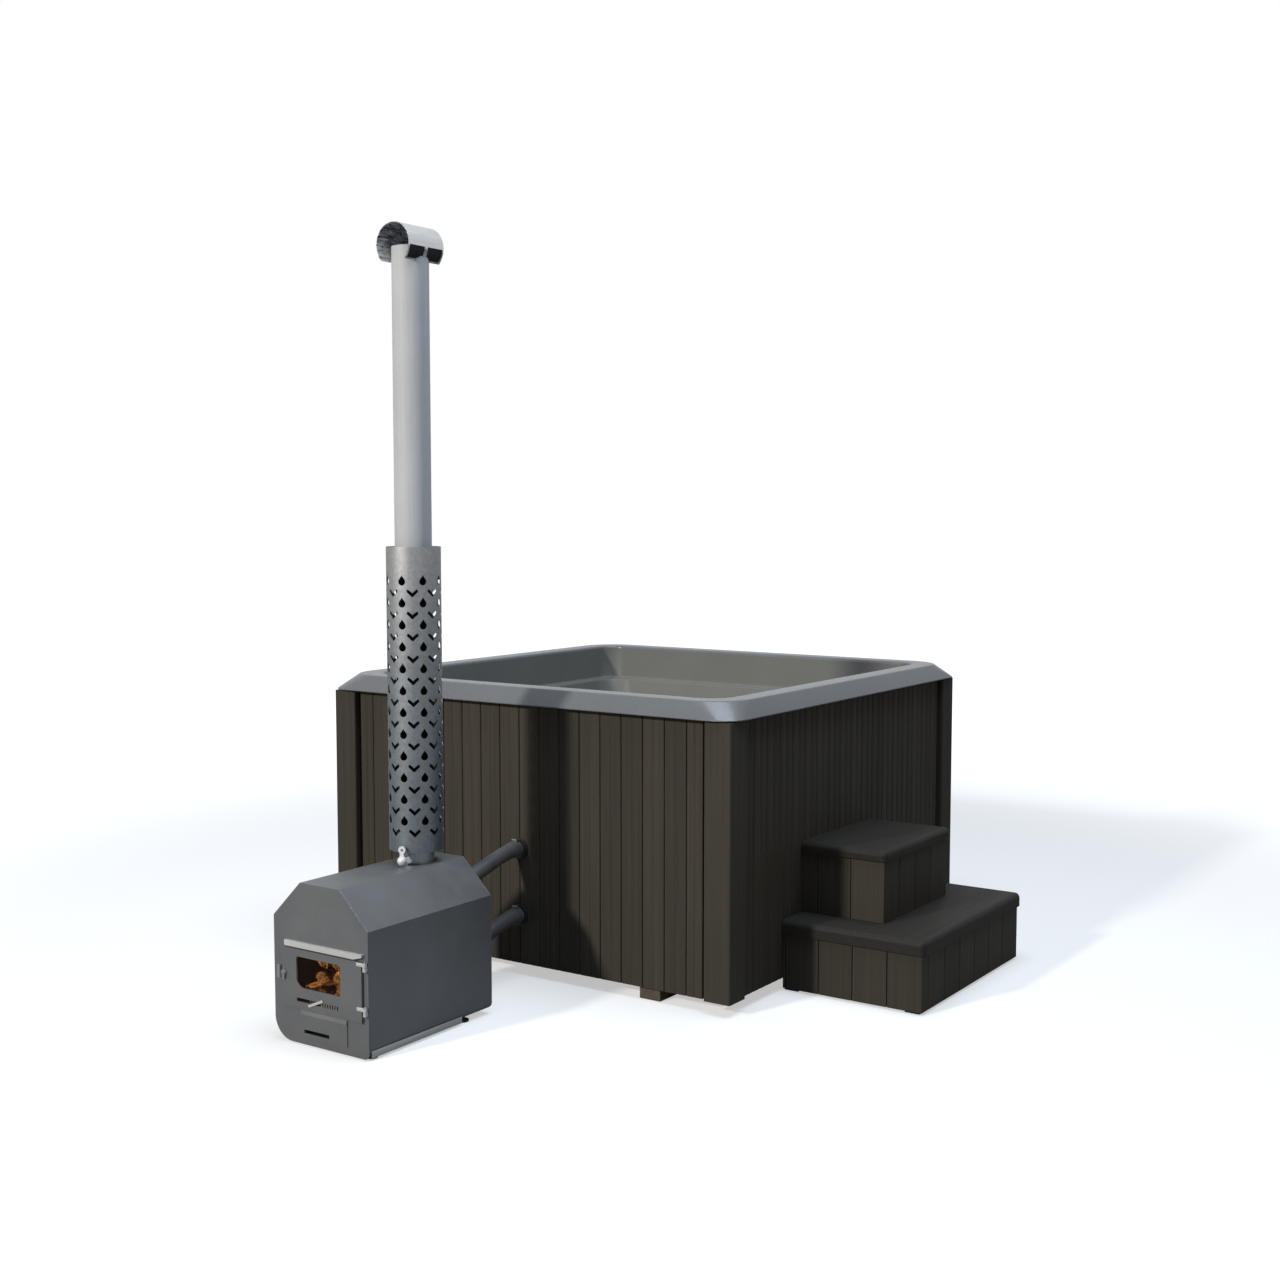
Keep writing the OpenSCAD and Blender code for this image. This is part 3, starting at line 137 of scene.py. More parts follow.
def soften(node, width, mat, segments=2):
    """A copy of a CAD node with its sharp edges rounded, shown in the node's place."""
    weld, touch = 2e-5, 1e-6
    flat, sharp, shaded_sharp = 0.4, 38, 50
    src = NODES[node]
    bm = bmesh.new()
    bm.from_mesh(src.data)
    bmesh.ops.remove_doubles(bm, verts=bm.verts, dist=weld)
    bmesh.ops.dissolve_limit(bm, angle_limit=math.radians(flat), verts=bm.verts, edges=bm.edges)
    limit = math.radians(sharp)
    edges = [e for e in bm.edges if len(e.link_faces) == 2 and e.calc_face_angle(0) > limit]
    bmesh.ops.bevel(bm, geom=edges, offset=width, segments=segments, profile=0.5, affect="EDGES",
                    clamp_overlap=True)
    bmesh.ops.remove_doubles(bm, verts=bm.verts, dist=touch)
    me = new_mesh(node + "_soft", bm)
    o = piece(node + "_soft", me, src["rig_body"], mat)
    sharp_by_angle(me, shaded_sharp)
    normals = o.modifiers.new("normals", "WEIGHTED_NORMAL")
    normals.keep_sharp = True
    normals.weight = 60
    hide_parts(node)
    return o


def skin(loops, capped=None):
    """A bmesh over loops of as many points each, from the last loop back to the first. After the capped loop
    there is a gap, and a face closes each of its two sides."""
    bm = bmesh.new()
    rows = [[bm.verts.new(p) for p in loop] for loop in loops]
    n = len(rows[0])
    for i, (a, b) in enumerate(zip(rows, rows[1:] + rows[:1])):
        if i == capped:
            bm.faces.new(a[::-1])
            bm.faces.new(b)
            continue
        for j in range(n):
            k = (j + 1) % n
            bm.faces.new((a[j], a[k], b[k], b[j]))
    return bm


def tube(path, radii, n):
    """Loops of n points round a path. radii is one radius or one for each point."""
    path = [Vector(p) for p in path]
    loops = []
    up = (path[1] - path[0]).normalized().cross(Vector((0.3, 0.1, 1)).normalized()).normalized()
    for i, p in enumerate(path):
        before = path[max(i - 1, 0)]
        after = path[min(i + 1, len(path) - 1)]
        t = (after - before).normalized()
        up = (up - t * up.dot(t)).normalized()
        side = t.cross(up)
        r = radii[i] if hasattr(radii, "__len__") else radii
        loops.append([p + (up * math.cos(a) + side * math.sin(a)) * r
                      for a in (2 * math.pi * j / n for j in range(n))])
    return loops


def box_bm(bm, lo, hi, bevel=0.0, matrix=None):
    """Adds a box with round edges to a bmesh."""
    m = Matrix.Diagonal((*[b - a for a, b in zip(lo, hi)], 1))
    m.translation = [(a + b) / 2 for a, b in zip(lo, hi)]
    got = bmesh.ops.create_cube(bm, size=1, matrix=(matrix or Matrix()) @ m)
    if bevel:
        edges = list({e for v in got["verts"] for e in v.link_edges})
        bmesh.ops.bevel(bm, geom=edges, offset=bevel, segments=2, profile=0.5, affect="EDGES",
                        clamp_overlap=True)


def lathe(profile, centre, axis, n):
    """A body turned from (radius, height) pairs. A radius of 0 closes an end, and a last pair like the first
    makes a ring."""
    c = Vector(centre)
    frames = {"z": (Vector((1, 0, 0)), Vector((0, 1, 0)), Vector((0, 0, 1))),
              "-y": (Vector((1, 0, 0)), Vector((0, 0, 1)), Vector((0, -1, 0)))}
    u, v, w = frames[axis]
    bm = bmesh.new()
    rings = []
    for i, (r, h) in enumerate(profile):
        if i and (r, h) == profile[0]:
            rings.append(rings[0])
        elif r == 0:
            rings.append([bm.verts.new(c + w * h)])
        else:
            rings.append([bm.verts.new(c + w * h + (u * math.cos(a) + v * math.sin(a)) * r)
                          for a in (2 * math.pi * j / n for j in range(n))])
    for a, b in zip(rings, rings[1:]):
        for j in range(n):
            k = (j + 1) % n
            if len(a) == 1:
                bm.faces.new((a[0], b[j], b[k]))
            elif len(b) == 1:
                bm.faces.new((a[j], b[0], a[k]))
            else:
                bm.faces.new((a[j], b[j], b[k], a[k]))
    return bm


def join_bm(parts):
    """One bmesh from several."""
    out = bmesh.new()
    for b in parts:
        me = new_mesh("part", b)
        out.from_mesh(me)
        bpy.data.meshes.remove(me)
    return out


# Materials
SHIELD_LO, SHIELD_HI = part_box("heat_shield")


class Mat:
    """A node material: every call adds a node and gives its output socket."""

    def __init__(self, name, **sockets):
        self.m = bpy.data.materials.new(name)
        self.m.use_nodes = True
        self.t = self.m.node_tree
        self.b = self.t.nodes["Principled BSDF"]
        self.co = self.t.nodes.new("ShaderNodeTexCoord").outputs["Object"]
        for k, v in sockets.items():
            self.set(k.replace("_", " "), v)

    def put(self, socket, v):
        if isinstance(v, bpy.types.NodeSocket):
            self.t.links.new(v, socket)
        elif v is not None:
            socket.default_value = v

    def set(self, name, v):
        names = {"Specular": "Specular IOR Level", "Coat": "Coat Weight",
                 "Transmission": "Transmission Weight", "Emission": "Emission Color"}
        self.put(self.b.inputs[names.get(name, name)], v)

    def node(self, kind, **values):
        """A new node with its inputs set: a socket is linked, and any other value is stored."""
        n = self.t.nodes.new("ShaderNode" + kind)
        for name, v in values.items():
            self.put(n.inputs[name], v)
        return n

    def mapping(self, scale, rotation=(0, 0, 0)):
        return self.node("Mapping", Vector=self.co, Scale=scale, Rotation=rotation).outputs[0]

    def noise(self, scale, detail=4, rough=0.55, of=None, distortion=0.0):
        return self.node("TexNoise", Vector=of or self.co, Scale=scale, Detail=detail, Roughness=rough,
                         Distortion=distortion).outputs[0]

    def cells(self, scale, of=None, out="Color"):
        return self.node("TexVoronoi", Vector=of or self.co, Scale=scale).outputs[out]

    def wave(self, scale, of=None, direction="Z", distortion=0.0, detail=2):
        n = self.node("TexWave", Vector=of or self.co, Scale=scale, Distortion=distortion, Detail=detail)
        n.bands_direction = direction
        return n.outputs["Fac"]

    def ramp(self, fac, *stops):
        n = self.t.nodes.new("ShaderNodeValToRGB")
        e = n.color_ramp.elements
        while len(e) < len(stops):
            e.new(0.5)
        for el, (p, c) in zip(e, stops):
            el.position = p
            el.color = c if hasattr(c, "__len__") else (c, c, c, 1)
        self.put(n.inputs[0], fac)
        return n.outputs[0]

    def math(self, op, a, b=0.0, clamp=False):
        n = self.t.nodes.new("ShaderNodeMath")
        n.operation = op
        n.use_clamp = clamp
        self.put(n.inputs[0], a)
        self.put(n.inputs[1], b)
        return n.outputs[0]

    def mix(self, fac, a, b, mode="MIX"):
        n = self.t.nodes.new("ShaderNodeMix")
        n.data_type = "RGBA"
        n.blend_type = mode
        self.put(n.inputs[0], fac)
        self.put(n.inputs[6], a)
        self.put(n.inputs[7], b)
        return n.outputs[2]

    def island(self):
        return self.t.nodes.new("ShaderNodeNewGeometry").outputs["Random Per Island"]

    def axis(self, which):
        return self.node("SeparateXYZ", Vector=self.co).outputs[which]

    def bump(self, height, distance, strength=1.0, normal=None):
        n = self.node("Bump", Distance=distance, Strength=strength, Height=height, Normal=normal)
        self.put(self.b.inputs["Normal"], n.outputs[0])
        return n.outputs[0]


def shade(c, k):
    """A linear colour, k times as bright."""
    return (c[0] * k, c[1] * k, c[2] * k, 1)


def board_mat(name, rgb, grain=(70, 70, 1.6), specular=0.10):
    """Brushed composite board: fine streaks along the board, each board a little different."""
    base = lin(*rgb)
    m = Mat(name, Specular=specular)
    streak = m.noise(1.0, 5, 0.6, of=m.mapping(grain))
    fine = m.noise(1.0, 3, 0.7, of=m.mapping(tuple(5 * g if g > 10 else g * 3 for g in grain)))
    cloud = m.noise(2.3, 3)
    c = m.ramp(streak, (0.25, shade(base, 0.74)), (0.5, base), (0.8, shade(base, 1.3)))
    c = m.mix(m.ramp(fine, (0.35, 0.0), (0.75, 0.30)), c, shade(base, 1.45))
    cool = (base[0] * 0.80, base[1] * 0.80, base[2] * 0.83, 1)
    c = m.mix(m.ramp(cloud, (0.3, 0.0), (0.75, 0.35)), c, cool)
    tone = m.ramp(m.island(), (0.0, 0.86), (1.0, 1.12))
    c = m.mix(1.0, c, tone, "MULTIPLY")
    m.set("Base Color", c)
    m.set("Roughness", m.ramp(fine, (0.3, 0.52), (0.8, 0.72)))
    m.bump(m.math("ADD", m.math("MULTIPLY", streak, 0.7), m.math("MULTIPLY", fine, 0.5)), 0.0006, 0.5)
    return m.m


def timber_mat(name, along, rgb=(172, 143, 106)):
    """Sawn softwood with grain along an axis."""
    base = lin(*rgb)
    scale = [38, 38, 38]
    scale["xyz".index(along)] = 1.3
    m = Mat(name, Specular=0.25)
    g = m.noise(1.0, 6, 0.62, of=m.mapping(tuple(scale)), distortion=0.4)
    wide = m.mapping(tuple(s * 0.45 for s in scale))
    band = m.wave(3.2, of=wide, direction="DIAGONAL", distortion=5, detail=3)
    c = m.ramp(g, (0.25, shade(base, 0.6)), (0.55, base), (0.85, shade(base, 1.2)))
    dark = (base[0] * 0.55, base[1] * 0.45, base[2] * 0.36, 1)
    c = m.mix(m.ramp(band, (0.2, 0.0), (0.95, 0.45)), c, dark)
    knots = m.cells(2.4, of=m.mapping(tuple(3.2 if s > 10 else 1.0 for s in scale)), out="Distance")
    c = m.mix(m.ramp(knots, (0.03, 0.75), (0.11, 0.0)), c, lin(70, 48, 30))
    m.set("Base Color", m.mix(1.0, c, m.ramp(m.island(), (0.0, 0.82), (1.0, 1.1)), "MULTIPLY"))
    m.set("Roughness", m.ramp(g, (0.2, 0.6), (0.9, 0.82)))
    m.bump(g, 0.0012, 0.5)
    return m.m


def paint_mat(name, rgb, metallic, rough=(0.34, 0.46)):
    """Satin heat-proof paint with a faint orange peel and a soft cloudiness."""
    base = lin(*rgb)
    m = Mat(name, Metallic=metallic, Specular=0.45)
    cloud = m.noise(3.1, 4, 0.55)
    fleck = m.noise(900, 2, 0.6)
    c = m.ramp(cloud, (0.3, shade(base, 0.90)), (0.7, shade(base, 1.10)))
    m.set("Base Color", m.mix(m.ramp(fleck, (0.45, 0.0), (0.8, 0.28)), c, shade(base, 1.6)))
    m.set("Roughness", m.ramp(m.noise(11, 5), (0.3, rough[0]), (0.7, rough[1])))
    m.bump(m.math("ADD", m.math("MULTIPLY", fleck, 0.25), m.noise(120, 3)), 0.0002, 0.35)
    return m.m


def steel_mat(name, rgb, rough=(0.24, 0.38), brushed=(260, 260, 3), dent=0.0, metallic=1.0):
    """Bare steel with brush marks. brushed stretches them along an axis, and dent gives shallow dents."""
    base = lin(*rgb)
    m = Mat(name, Metallic=metallic)
    lines = m.noise(1.0, 4, 0.7, of=m.mapping(brushed))
    cloud = m.noise(4.0, 4)
    c = m.ramp(m.math("ADD", m.math("MULTIPLY", lines, 0.6), m.math("MULTIPLY", cloud, 0.4)),
               (0.3, shade(base, 0.84)), (0.7, shade(base, 1.08)))
    m.set("Base Color", c)
    m.set("Roughness", m.ramp(m.math("MULTIPLY", m.math("ADD", lines, cloud), 0.5),
                              (0.3, rough[0]), (0.7, rough[1])))
    n = m.bump(lines, 0.0001, 0.25)
    if dent:
        m.bump(m.noise(26, 3, 0.5), dent, 0.6, normal=n)
    return m.m


def plastic_mat(name, rgb, rough, grain=700, specular=0.4):
    """Rubber or plastic with a fine grain."""
    base = lin(*rgb)
    m = Mat(name, Specular=specular)
    g = m.noise(grain, 2, 0.6)
    cloud = m.noise(9, 4)
    m.set("Base Color", m.ramp(cloud, (0.3, shade(base, 0.85)), (0.7, shade(base, 1.18))))
    m.set("Roughness", m.ramp(m.noise(40, 4), (0.3, rough - 0.06), (0.7, rough + 0.08)))
    m.bump(g, 0.0003, 0.35)
    return m.m


def shell_mat(name, rgb, rough=(0.24, 0.33), specular=0.35, coat=0.12):
    """Moulded acrylic with a fine pearl and a hardly visible cloudiness."""
    base = lin(*rgb)
    m = Mat(name, Specular=specular, Coat=coat)
    m.b.inputs["Coat Roughness"].default_value = 0.12
    cloud = m.noise(3.5, 4, 0.5)
    pearl = m.cells(620)
    c = m.ramp(cloud, (0.32, shade(base, 0.95)), (0.72, shade(base, 1.04)))
    c = m.mix(0.03, c, m.mix(1.0, c, m.ramp(pearl, (0.0, 0.6), (1.0, 1.6)), "MULTIPLY"))
    m.set("Base Color", c)
    m.set("Roughness", m.ramp(m.noise(30, 4), (0.3, rough[0]), (0.7, rough[1])))
    m.bump(m.noise(14, 2), 0.0005, 0.04)
    return m.m


def rope_mat():
    """Glass rope with slanted strands."""
    base = lin(92, 88, 82)
    m = Mat("rope", Specular=0.2)
    w = m.wave(330, of=m.mapping((1, 1, 1), (0, 0.7, 0.7)), direction="DIAGONAL", distortion=1.5)
    m.set("Base Color", m.ramp(w, (0.2, shade(base, 0.6)), (0.8, shade(base, 1.3))))
    m.set("Roughness", m.ramp(m.noise(300), (0.2, 0.8), (0.8, 0.95)))
    m.bump(w, 0.0012, 0.8)
    return m.m


def iron_mat(name, rgb, glow=0.0):
    """Cast iron under soot; glow is a painted glow, the faint dark red of a fire that burns low."""
    base = lin(*rgb)
    m = Mat(name, Metallic=0.3, Specular=0.35)
    # Painted glow: a faint dark red light given off, as of embers.
    m.b.inputs["Emission Color"].default_value = (1.0, 0.16, 0.12, 1)
    m.b.inputs["Emission Strength"].default_value = glow
    g = m.noise(260, 5, 0.7)
    soot_and_painted_light = m.noise(14, 5, 0.6)
    c = m.ramp(g, (0.3, shade(base, 0.7)), (0.75, shade(base, 1.4)))
    m.set("Base Color", m.mix(m.ramp(soot_and_painted_light, (0.52, 0.0), (0.75, 0.5)), c, shade(base, 3.0)))
    m.set("Roughness", m.ramp(soot_and_painted_light, (0.3, 0.55), (0.8, 0.85)))
    m.bump(g, 0.0008, 0.6)
    return m.m


def foam_mat():
    """Stiff foam with small cells."""
    m = Mat("foam", Specular=0.2)
    m.set("Base Color", m.ramp(m.cells(260), (0.0, lin(196, 192, 180)), (1.0, lin(226, 223, 214))))
    m.set("Roughness", m.ramp(m.noise(60), (0.3, 0.75), (0.8, 0.9)))
    m.bump(m.cells(260, out="Distance"), 0.0012, 0.5)
    return m.m


def glass_mat():
    """Window glass with a thin brown film."""
    m = Mat("fire_glass", Transmission=1.0, IOR=1.12)
    m.set("Base Color", m.ramp(m.noise(22, 5, 0.65), (0.35, lin(206, 186, 170)), (0.75, lin(240, 226, 214))))
    m.set("Roughness", m.ramp(m.noise(60, 4), (0.35, 0.02), (0.8, 0.10)))
    return m.m


def wood_log(name, kind):
    """Split log with its grain along Y: bark, an end or a split face, all with dark cracks."""
    m = Mat(name, Specular=0.2)
    g = m.noise(1.0, 6, 0.65, of=m.mapping((60, 4.0, 60)), distortion=0.6)
    if kind == "bark":
        ridges = m.noise(1.0, 6, 0.7, of=m.mapping((55, 16, 55)), distortion=1.5)
        c = m.ramp(ridges, (0.3, lin(38, 26, 18)), (0.55, lin(92, 64, 42)), (0.8, lin(150, 116, 84)))
        m.bump(ridges, 0.004, 0.9)
    elif kind == "end":
        r = m.wave(70, direction="DIAGONAL", distortion=3, detail=4)
        c = m.ramp(r, (0.2, lin(172, 116, 58)), (0.7, lin(222, 170, 100)), (1.0, lin(240, 204, 140)))
        m.bump(r, 0.0015, 0.5)
    else:
        c = m.ramp(g, (0.25, lin(150, 88, 36)), (0.5, lin(206, 142, 70)), (0.8, lin(240, 196, 124)))
        m.bump(g, 0.003, 0.8)
    cracks = m.noise(1.0, 5, 0.7, of=m.mapping((34, 12, 34)), distortion=2.5)
    c = m.mix(1.0, c, m.ramp(cracks, (0.42, 0.06), (0.54, 1.0)), "MULTIPLY")
    m.set("Base Color", c)
    # Painted glow: the wood gives off a little of its own colour as light, as if lit by the fire.
    m.set("Emission", c)
    m.b.inputs["Emission Strength"].default_value = 0.09
    m.set("Roughness", m.ramp(g, (0.2, 0.6), (0.9, 0.85)))
    return m.m


def flue_mat():
    """The lower flue: zinc grey at its foot, made paler as painted light, and black as painted shade where
    the heat shield goes round it.
    """
    grey_top = 0.646
    m = Mat("flue_lower", Metallic=0.7)
    lines = m.noise(1.0, 4, 0.7, of=m.mapping((240, 240, 3)))
    soot_and_painted_light = m.noise(7, 4)
    # Painted light: the zinc grey of the foot is paler than the zinc, for the light on it.
    foot = m.ramp(lines, (0.3, lin(140, 149, 154)), (0.7, lin(164, 172, 177)))
    # Painted shade: near black above grey_top, inside the heat shield.
    dark = m.ramp(soot_and_painted_light, (0.3, lin(14, 14, 15)), (0.7, lin(30, 29, 29)))
    height = m.math("ADD", m.axis(2), m.math("MULTIPLY", soot_and_painted_light, 0.02))
    m.set("Base Color", m.mix(m.math("GREATER_THAN", height, grey_top), foot, dark))
    m.set("Roughness", m.ramp(lines, (0.3, 0.42), (0.7, 0.6)))
    m.bump(lines, 0.0001, 0.3)
    return m.m


def shield_mat(name, low, high):
    """Galvanised sheet with a faint crystal pattern, bluer at its lower end and paler at its upper one; this
    change with height is painted light and reflection.
    """
    m = Mat(name, Metallic=0.75)
    crystal = m.cells(120, of=m.mapping((1, 1, 0.8)))
    cloud = m.noise(9.0, 4)
    t = m.math("DIVIDE", m.math("SUBTRACT", m.axis(2), SHIELD_LO.z), SHIELD_HI.z - SHIELD_LO.z, clamp=True)
    middle = [(a + b) / 2 for a, b in zip(low, high)]
    # Painted light and reflection: paler towards the top, bluer towards the foot.
    c = m.ramp(t, (0.0, lin(*low)), (0.62, lin(*middle)), (1.0, lin(*high)))
    c = m.mix(0.35, c, m.mix(1.0, c, m.ramp(crystal, (0.0, 0.6), (1.0, 1.35)), "MULTIPLY"))
    c = m.mix(m.ramp(cloud, (0.4, 0.0), (0.8, 0.25)), c, shade(lin(*low), 0.7))
    m.set("Base Color", c)
    m.set("Roughness", m.ramp(cloud, (0.3, 0.40), (0.7, 0.55)))
    m.bump(m.noise(300, 3), 0.0002, 0.35)
    return m.m


def soot_and_painted_light_mat(box):
    """The cowl's inside: black and grey with streaks, which are soot, painted shade and painted reflection,
    and pale crinkled steel low on the left, which is a painted reflection.
    """
    left_of_axis = 0.03
    m = Mat("cowl_inside_soot_and_painted_light", Metallic=0.25)
    streaks = m.noise(1.0, 6, 0.7, of=m.mapping((60, 14, 60)), distortion=1.2)
    # Soot, painted shade and painted reflection in streaks from black to near white.
    soot_and_painted_light = m.ramp(streaks, (0.36, lin(12, 12, 13)), (0.47, lin(104, 107, 112)), (0.62, lin(236, 239, 244)))
    # Painted reflection: pale steel low on the left.
    painted_reflection = m.ramp(streaks, (0.36, lin(120, 120, 122)), (0.5, lin(232, 232, 233)))
    low = m.math("LESS_THAN", m.axis(2), box[1].z - (box[1].x - box[0].x) / 2)
    left = m.math("LESS_THAN", m.axis(0), (box[0].x + box[1].x) / 2 - left_of_axis)
    m.set("Base Color", m.mix(m.math("MULTIPLY", low, left), soot_and_painted_light, painted_reflection))
    m.set("Roughness", m.ramp(streaks, (0.3, 0.45), (0.7, 0.65)))
    m.bump(streaks, 0.0015, 0.6)
    return m.m


def slider_mat(box):
    """The slider's slanted tongue is plain steel; its stem and its plate are dark with soot and with painted
    shade of the air slot.
    """
    slant, tongue_half = math.radians(23), 0.0048
    m = Mat("slider_steel", Metallic=0.15)
    lines = m.noise(1.0, 4, 0.7, of=m.mapping((3, 260, 260)))
    x = m.math("SUBTRACT", m.axis(0), (box[0].x + box[1].x) / 2)
    z = m.math("SUBTRACT", m.axis(2), (box[0].z + box[1].z) / 2)
    up, along = m.math("MULTIPLY", z, math.cos(slant)), m.math("MULTIPLY", x, math.sin(slant))
    across = m.math("SUBTRACT", up, along)
    stem = m.math("GREATER_THAN", m.math("ABSOLUTE", across), tongue_half)
    steel = m.ramp(lines, (0.3, lin(172, 172, 170)), (0.7, lin(206, 206, 204)))
    # Soot and painted shade: the stem and the plate are near black, as the air slot is.
    soot_and_painted_light = m.ramp(lines, (0.3, lin(34, 32, 30)), (0.7, lin(56, 53, 50)))
    m.set("Base Color", m.mix(stem, steel, soot_and_painted_light))
    m.set("Roughness", m.ramp(lines, (0.3, 0.38), (0.7, 0.5)))
    m.bump(lines, 0.0001, 0.25)
    return m.m


# Stretch of brush marks that run along an axis
ALONG_X, ALONG_Z, EVEN = (3, 260, 260), (260, 260, 3), (60, 60, 60)
M = {
    "board": board_mat("cladding_boards", (63, 59, 51)),
    "post": board_mat("post_boards", (62, 58, 51)),
    # Painted shade: the treads are darker than the boards of the same brown, for the shade on their tops.
    "tread": board_mat("tread_boards_painted_shade", (40, 38, 35), grain=(70, 1.6, 70), specular=0.14),
    "shell": shell_mat("gelcoat", (101, 102, 103)),
    "shell_inner": shell_mat("gelcoat_basin", (110, 109, 104), rough=(0.4, 0.5), specular=0.15, coat=0.0),
    "timber_x": timber_mat("timber_x", "x"),
    "timber_y": timber_mat("timber_y", "y"),
    "timber_z": timber_mat("timber_z", "z"),
    "bearer": timber_mat("bearer_timber", "y", (92, 84, 74)),
    "foam": foam_mat(),
    "stove": paint_mat("stove_paint", (109, 110, 111), metallic=0.4),
    "steel": steel_mat("stainless", (186, 187, 188), rough=(0.56, 0.66), metallic=0.0),
    "steel_flat": steel_mat("stainless_flat", (190, 191, 192), brushed=(4, 260, 260)),
    "shield": shield_mat("galvanised", (112, 120, 126), (172, 172, 172)),
    # Painted shade: the spacers inside the heat shield are near black.
    "shield_painted_shade": shield_mat("galvanised_painted_shade", (40, 41, 43), (62, 62, 63)),
    "bright": steel_mat("bright_steel", (226, 227, 228), rough=(0.16, 0.30), brushed=(90, 3, 90), dent=0.0012,
                        metallic=0.85),
    "cowl_soot_and_painted_light": soot_and_painted_light_mat(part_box("flue_cowl")),
    "slider": slider_mat(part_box("air_slider")),
    # Painted shade: near-black sheets behind the cowl's openings.
    "mesh": iron_mat("cowl_shade_sheets", (30, 30, 31)),
    "clamp": steel_mat("clamp_steel", (120, 120, 121), rough=(0.38, 0.5), brushed=ALONG_X, metallic=0.6),
    "latch": steel_mat("latch_steel", (150, 150, 150), rough=(0.35, 0.5), brushed=ALONG_X, metallic=0.6),
    "grille": steel_mat("grille_steel", (128, 122, 112), rough=(0.4, 0.55), brushed=ALONG_Z, metallic=0.5),
    "flue_low": flue_mat(),
    "iron": iron_mat("fire_iron", (20, 16, 17), glow=0.003),
    "hose": plastic_mat("hose_rubber", (86, 85, 84), rough=0.5, grain=420),
    "rope": rope_mat(),
    "brass": steel_mat("brass", (196, 166, 104), rough=(0.26, 0.42), brushed=(220, 6, 220)),
    "glass": glass_mat(),
    "plastic": plastic_mat("black_plastic", (34, 34, 36), rough=0.42),
    # Painted shade: the unions are darkened to the shade on the tub's wall.
    "union": plastic_mat("union_plastic_painted_shade", (30, 29, 28), rough=0.5),
    "lever": paint_mat("lever_paint", (152, 30, 24), metallic=0.0, rough=(0.28, 0.36)),
    "split": wood_log("log_split", "split"),
    "bark": wood_log("log_bark", "bark"),
    "end": wood_log("log_end", "end"),
    "membrane": plastic_mat("membrane", (17, 17, 17), rough=0.6, grain=300, specular=0.2),
    "lip": steel_mat("lip_steel", (196, 196, 194), rough=(0.38, 0.5), brushed=ALONG_X, metallic=0.15),
    "handle": steel_mat("handle_steel", (222, 222, 224), rough=(0.45, 0.6), brushed=EVEN, metallic=0.2),
    "runner": steel_mat("runner_steel", (186, 185, 181), rough=(0.45, 0.6), brushed=(60, 3, 60),
                        metallic=0.2),
}
# The material of each slot, and of the nodes that differ from their slot
SLOT_MAT = {
    "frame_timber": "timber_x", "cladding_wood": "board", "post_wood": "post", "gelcoat": "shell",
    "insulation": "foam", "stove_paint": "stove", "fire_iron": "iron", "stainless": "steel",
    "galvanised": "shield", "bright_steel": "bright", "hose_rubber": "hose", "rope": "rope", "brass": "brass",
    "fire_glass": "glass", "log_wood": "split", "black_plastic": "plastic", "lever_paint": "lever"}
NODE_MAT = {
    "base_bearers": "bearer", "floor_joists": "timber_x", "floor_deck": "timber_y",
    "bottom_rails": "timber_x", "wall_studs": "timber_z", "top_rails": "timber_x", "step_frame": "timber_z",
    "ash_drawer": "steel_flat", "lower_flue": "flue_low", "air_grille": "grille",
    "shield_spacers": "shield_painted_shade"}
for node, slot in SLOTS.items():
    NODES[node].data.materials.clear()
    NODES[node].data.materials.append(M[NODE_MAT.get(node, SLOT_MAT[slot])])


# Tub shell
def square_loop(half, r, z):
    """A square with round corners, as points in order."""
    k = 20
    pts = []
    for q, (sx, sy) in enumerate([(1, 1), (-1, 1), (-1, -1), (1, -1)]):
        cx, cy = sx * (half - r), sy * (half - r)
        for i in range(k + 1):
            a = math.radians(90 * q + 90 * i / k)
            pts.append(Vector((cx + r * math.cos(a), cy + r * math.sin(a), z)))
    return pts


def bend(p0, p1, p2, r, n):
    """Rounds the corner p1 of a profile of (half, radius, z) points with a fillet of radius r."""
    a, b, c = (Vector((p[0], p[2])) for p in (p0, p1, p2))
    u, v = (a - b).normalized(), (c - b).normalized()
    half = math.acos(max(-1, min(1, u.dot(v)))) / 2
    d = r / math.tan(half)
    centre = b + (u + v).normalized() * (r / math.sin(half))
    s, e = b + u * d, b + v * d
    a0 = math.atan2(s.y - centre.y, s.x - centre.x)
    a1 = math.atan2(e.y - centre.y, e.x - centre.x)
    turn = (a1 - a0 + math.pi) % (2 * math.pi) - math.pi
    out = []
    for i in range(n + 1):
        t = i / n
        ang = a0 + turn * t
        q = centre + Vector((math.cos(ang), math.sin(ang))) * r
        w0 = d * (1 - t) / max((a - b).length, 1e-9)
        w1 = d * t / max((c - b).length, 1e-9)
        rad = p1[1] * (1 - w0 - w1) + p0[1] * w0 + p2[1] * w1
        out.append((q.x, rad, q.y))
    return out


def profile(points):
    """A profile of (half, corner radius, z, fillet) points with every fillet filled in."""
    large, many, few = 0.015, 8, 5
    out = [points[0][:3]]
    for p0, p1, p2 in zip(points, points[1:], points[2:]):
        if p1[3] > 0:
            out += bend(p0, p1, p2, p1[3], many if p1[3] > large else few)
        else:
            out.append(p1[:3])
    out.append(points[-1][:3])
    return out


# Half widths, corner radii and heights of the shell's forms, and the thickness of its sheet
SHEET = 0.008
RIM_HALF, RIM_R, RIM_Z = 1.0196, 0.0996, 1.1719
RIM_FOOT_Z, BEVEL_FOOT_Z, RIM_UNDER_Z = 1.1056, 1.1100, 1.163
TURN_IN, RIM_SHEET, LAST_DROP = 0.0076, 0.0086, 0.0002
BEVEL_HALF, BEVEL_R = 0.9722, 0.168
UNDER_BEVEL_HALF, UNDER_BEVEL_R = 0.961, 0.161
BASIN_HALF, BASIN_R, DRAFT = 0.875, 0.090, 0.001
LEDGE_HALF, LEDGE_Z = 0.841, 1.006
SEAT_HALF, SEAT_Z, SEAT_R = 0.771, 0.600, 0.130
WELL_TOP_HALF, WELL_HALF, WELL_Z, WELL_UNDER_Z = 0.441, 0.411, 0.146, 0.1385
MIDDLE_HALF, MIDDLE_R = 0.20, 0.06


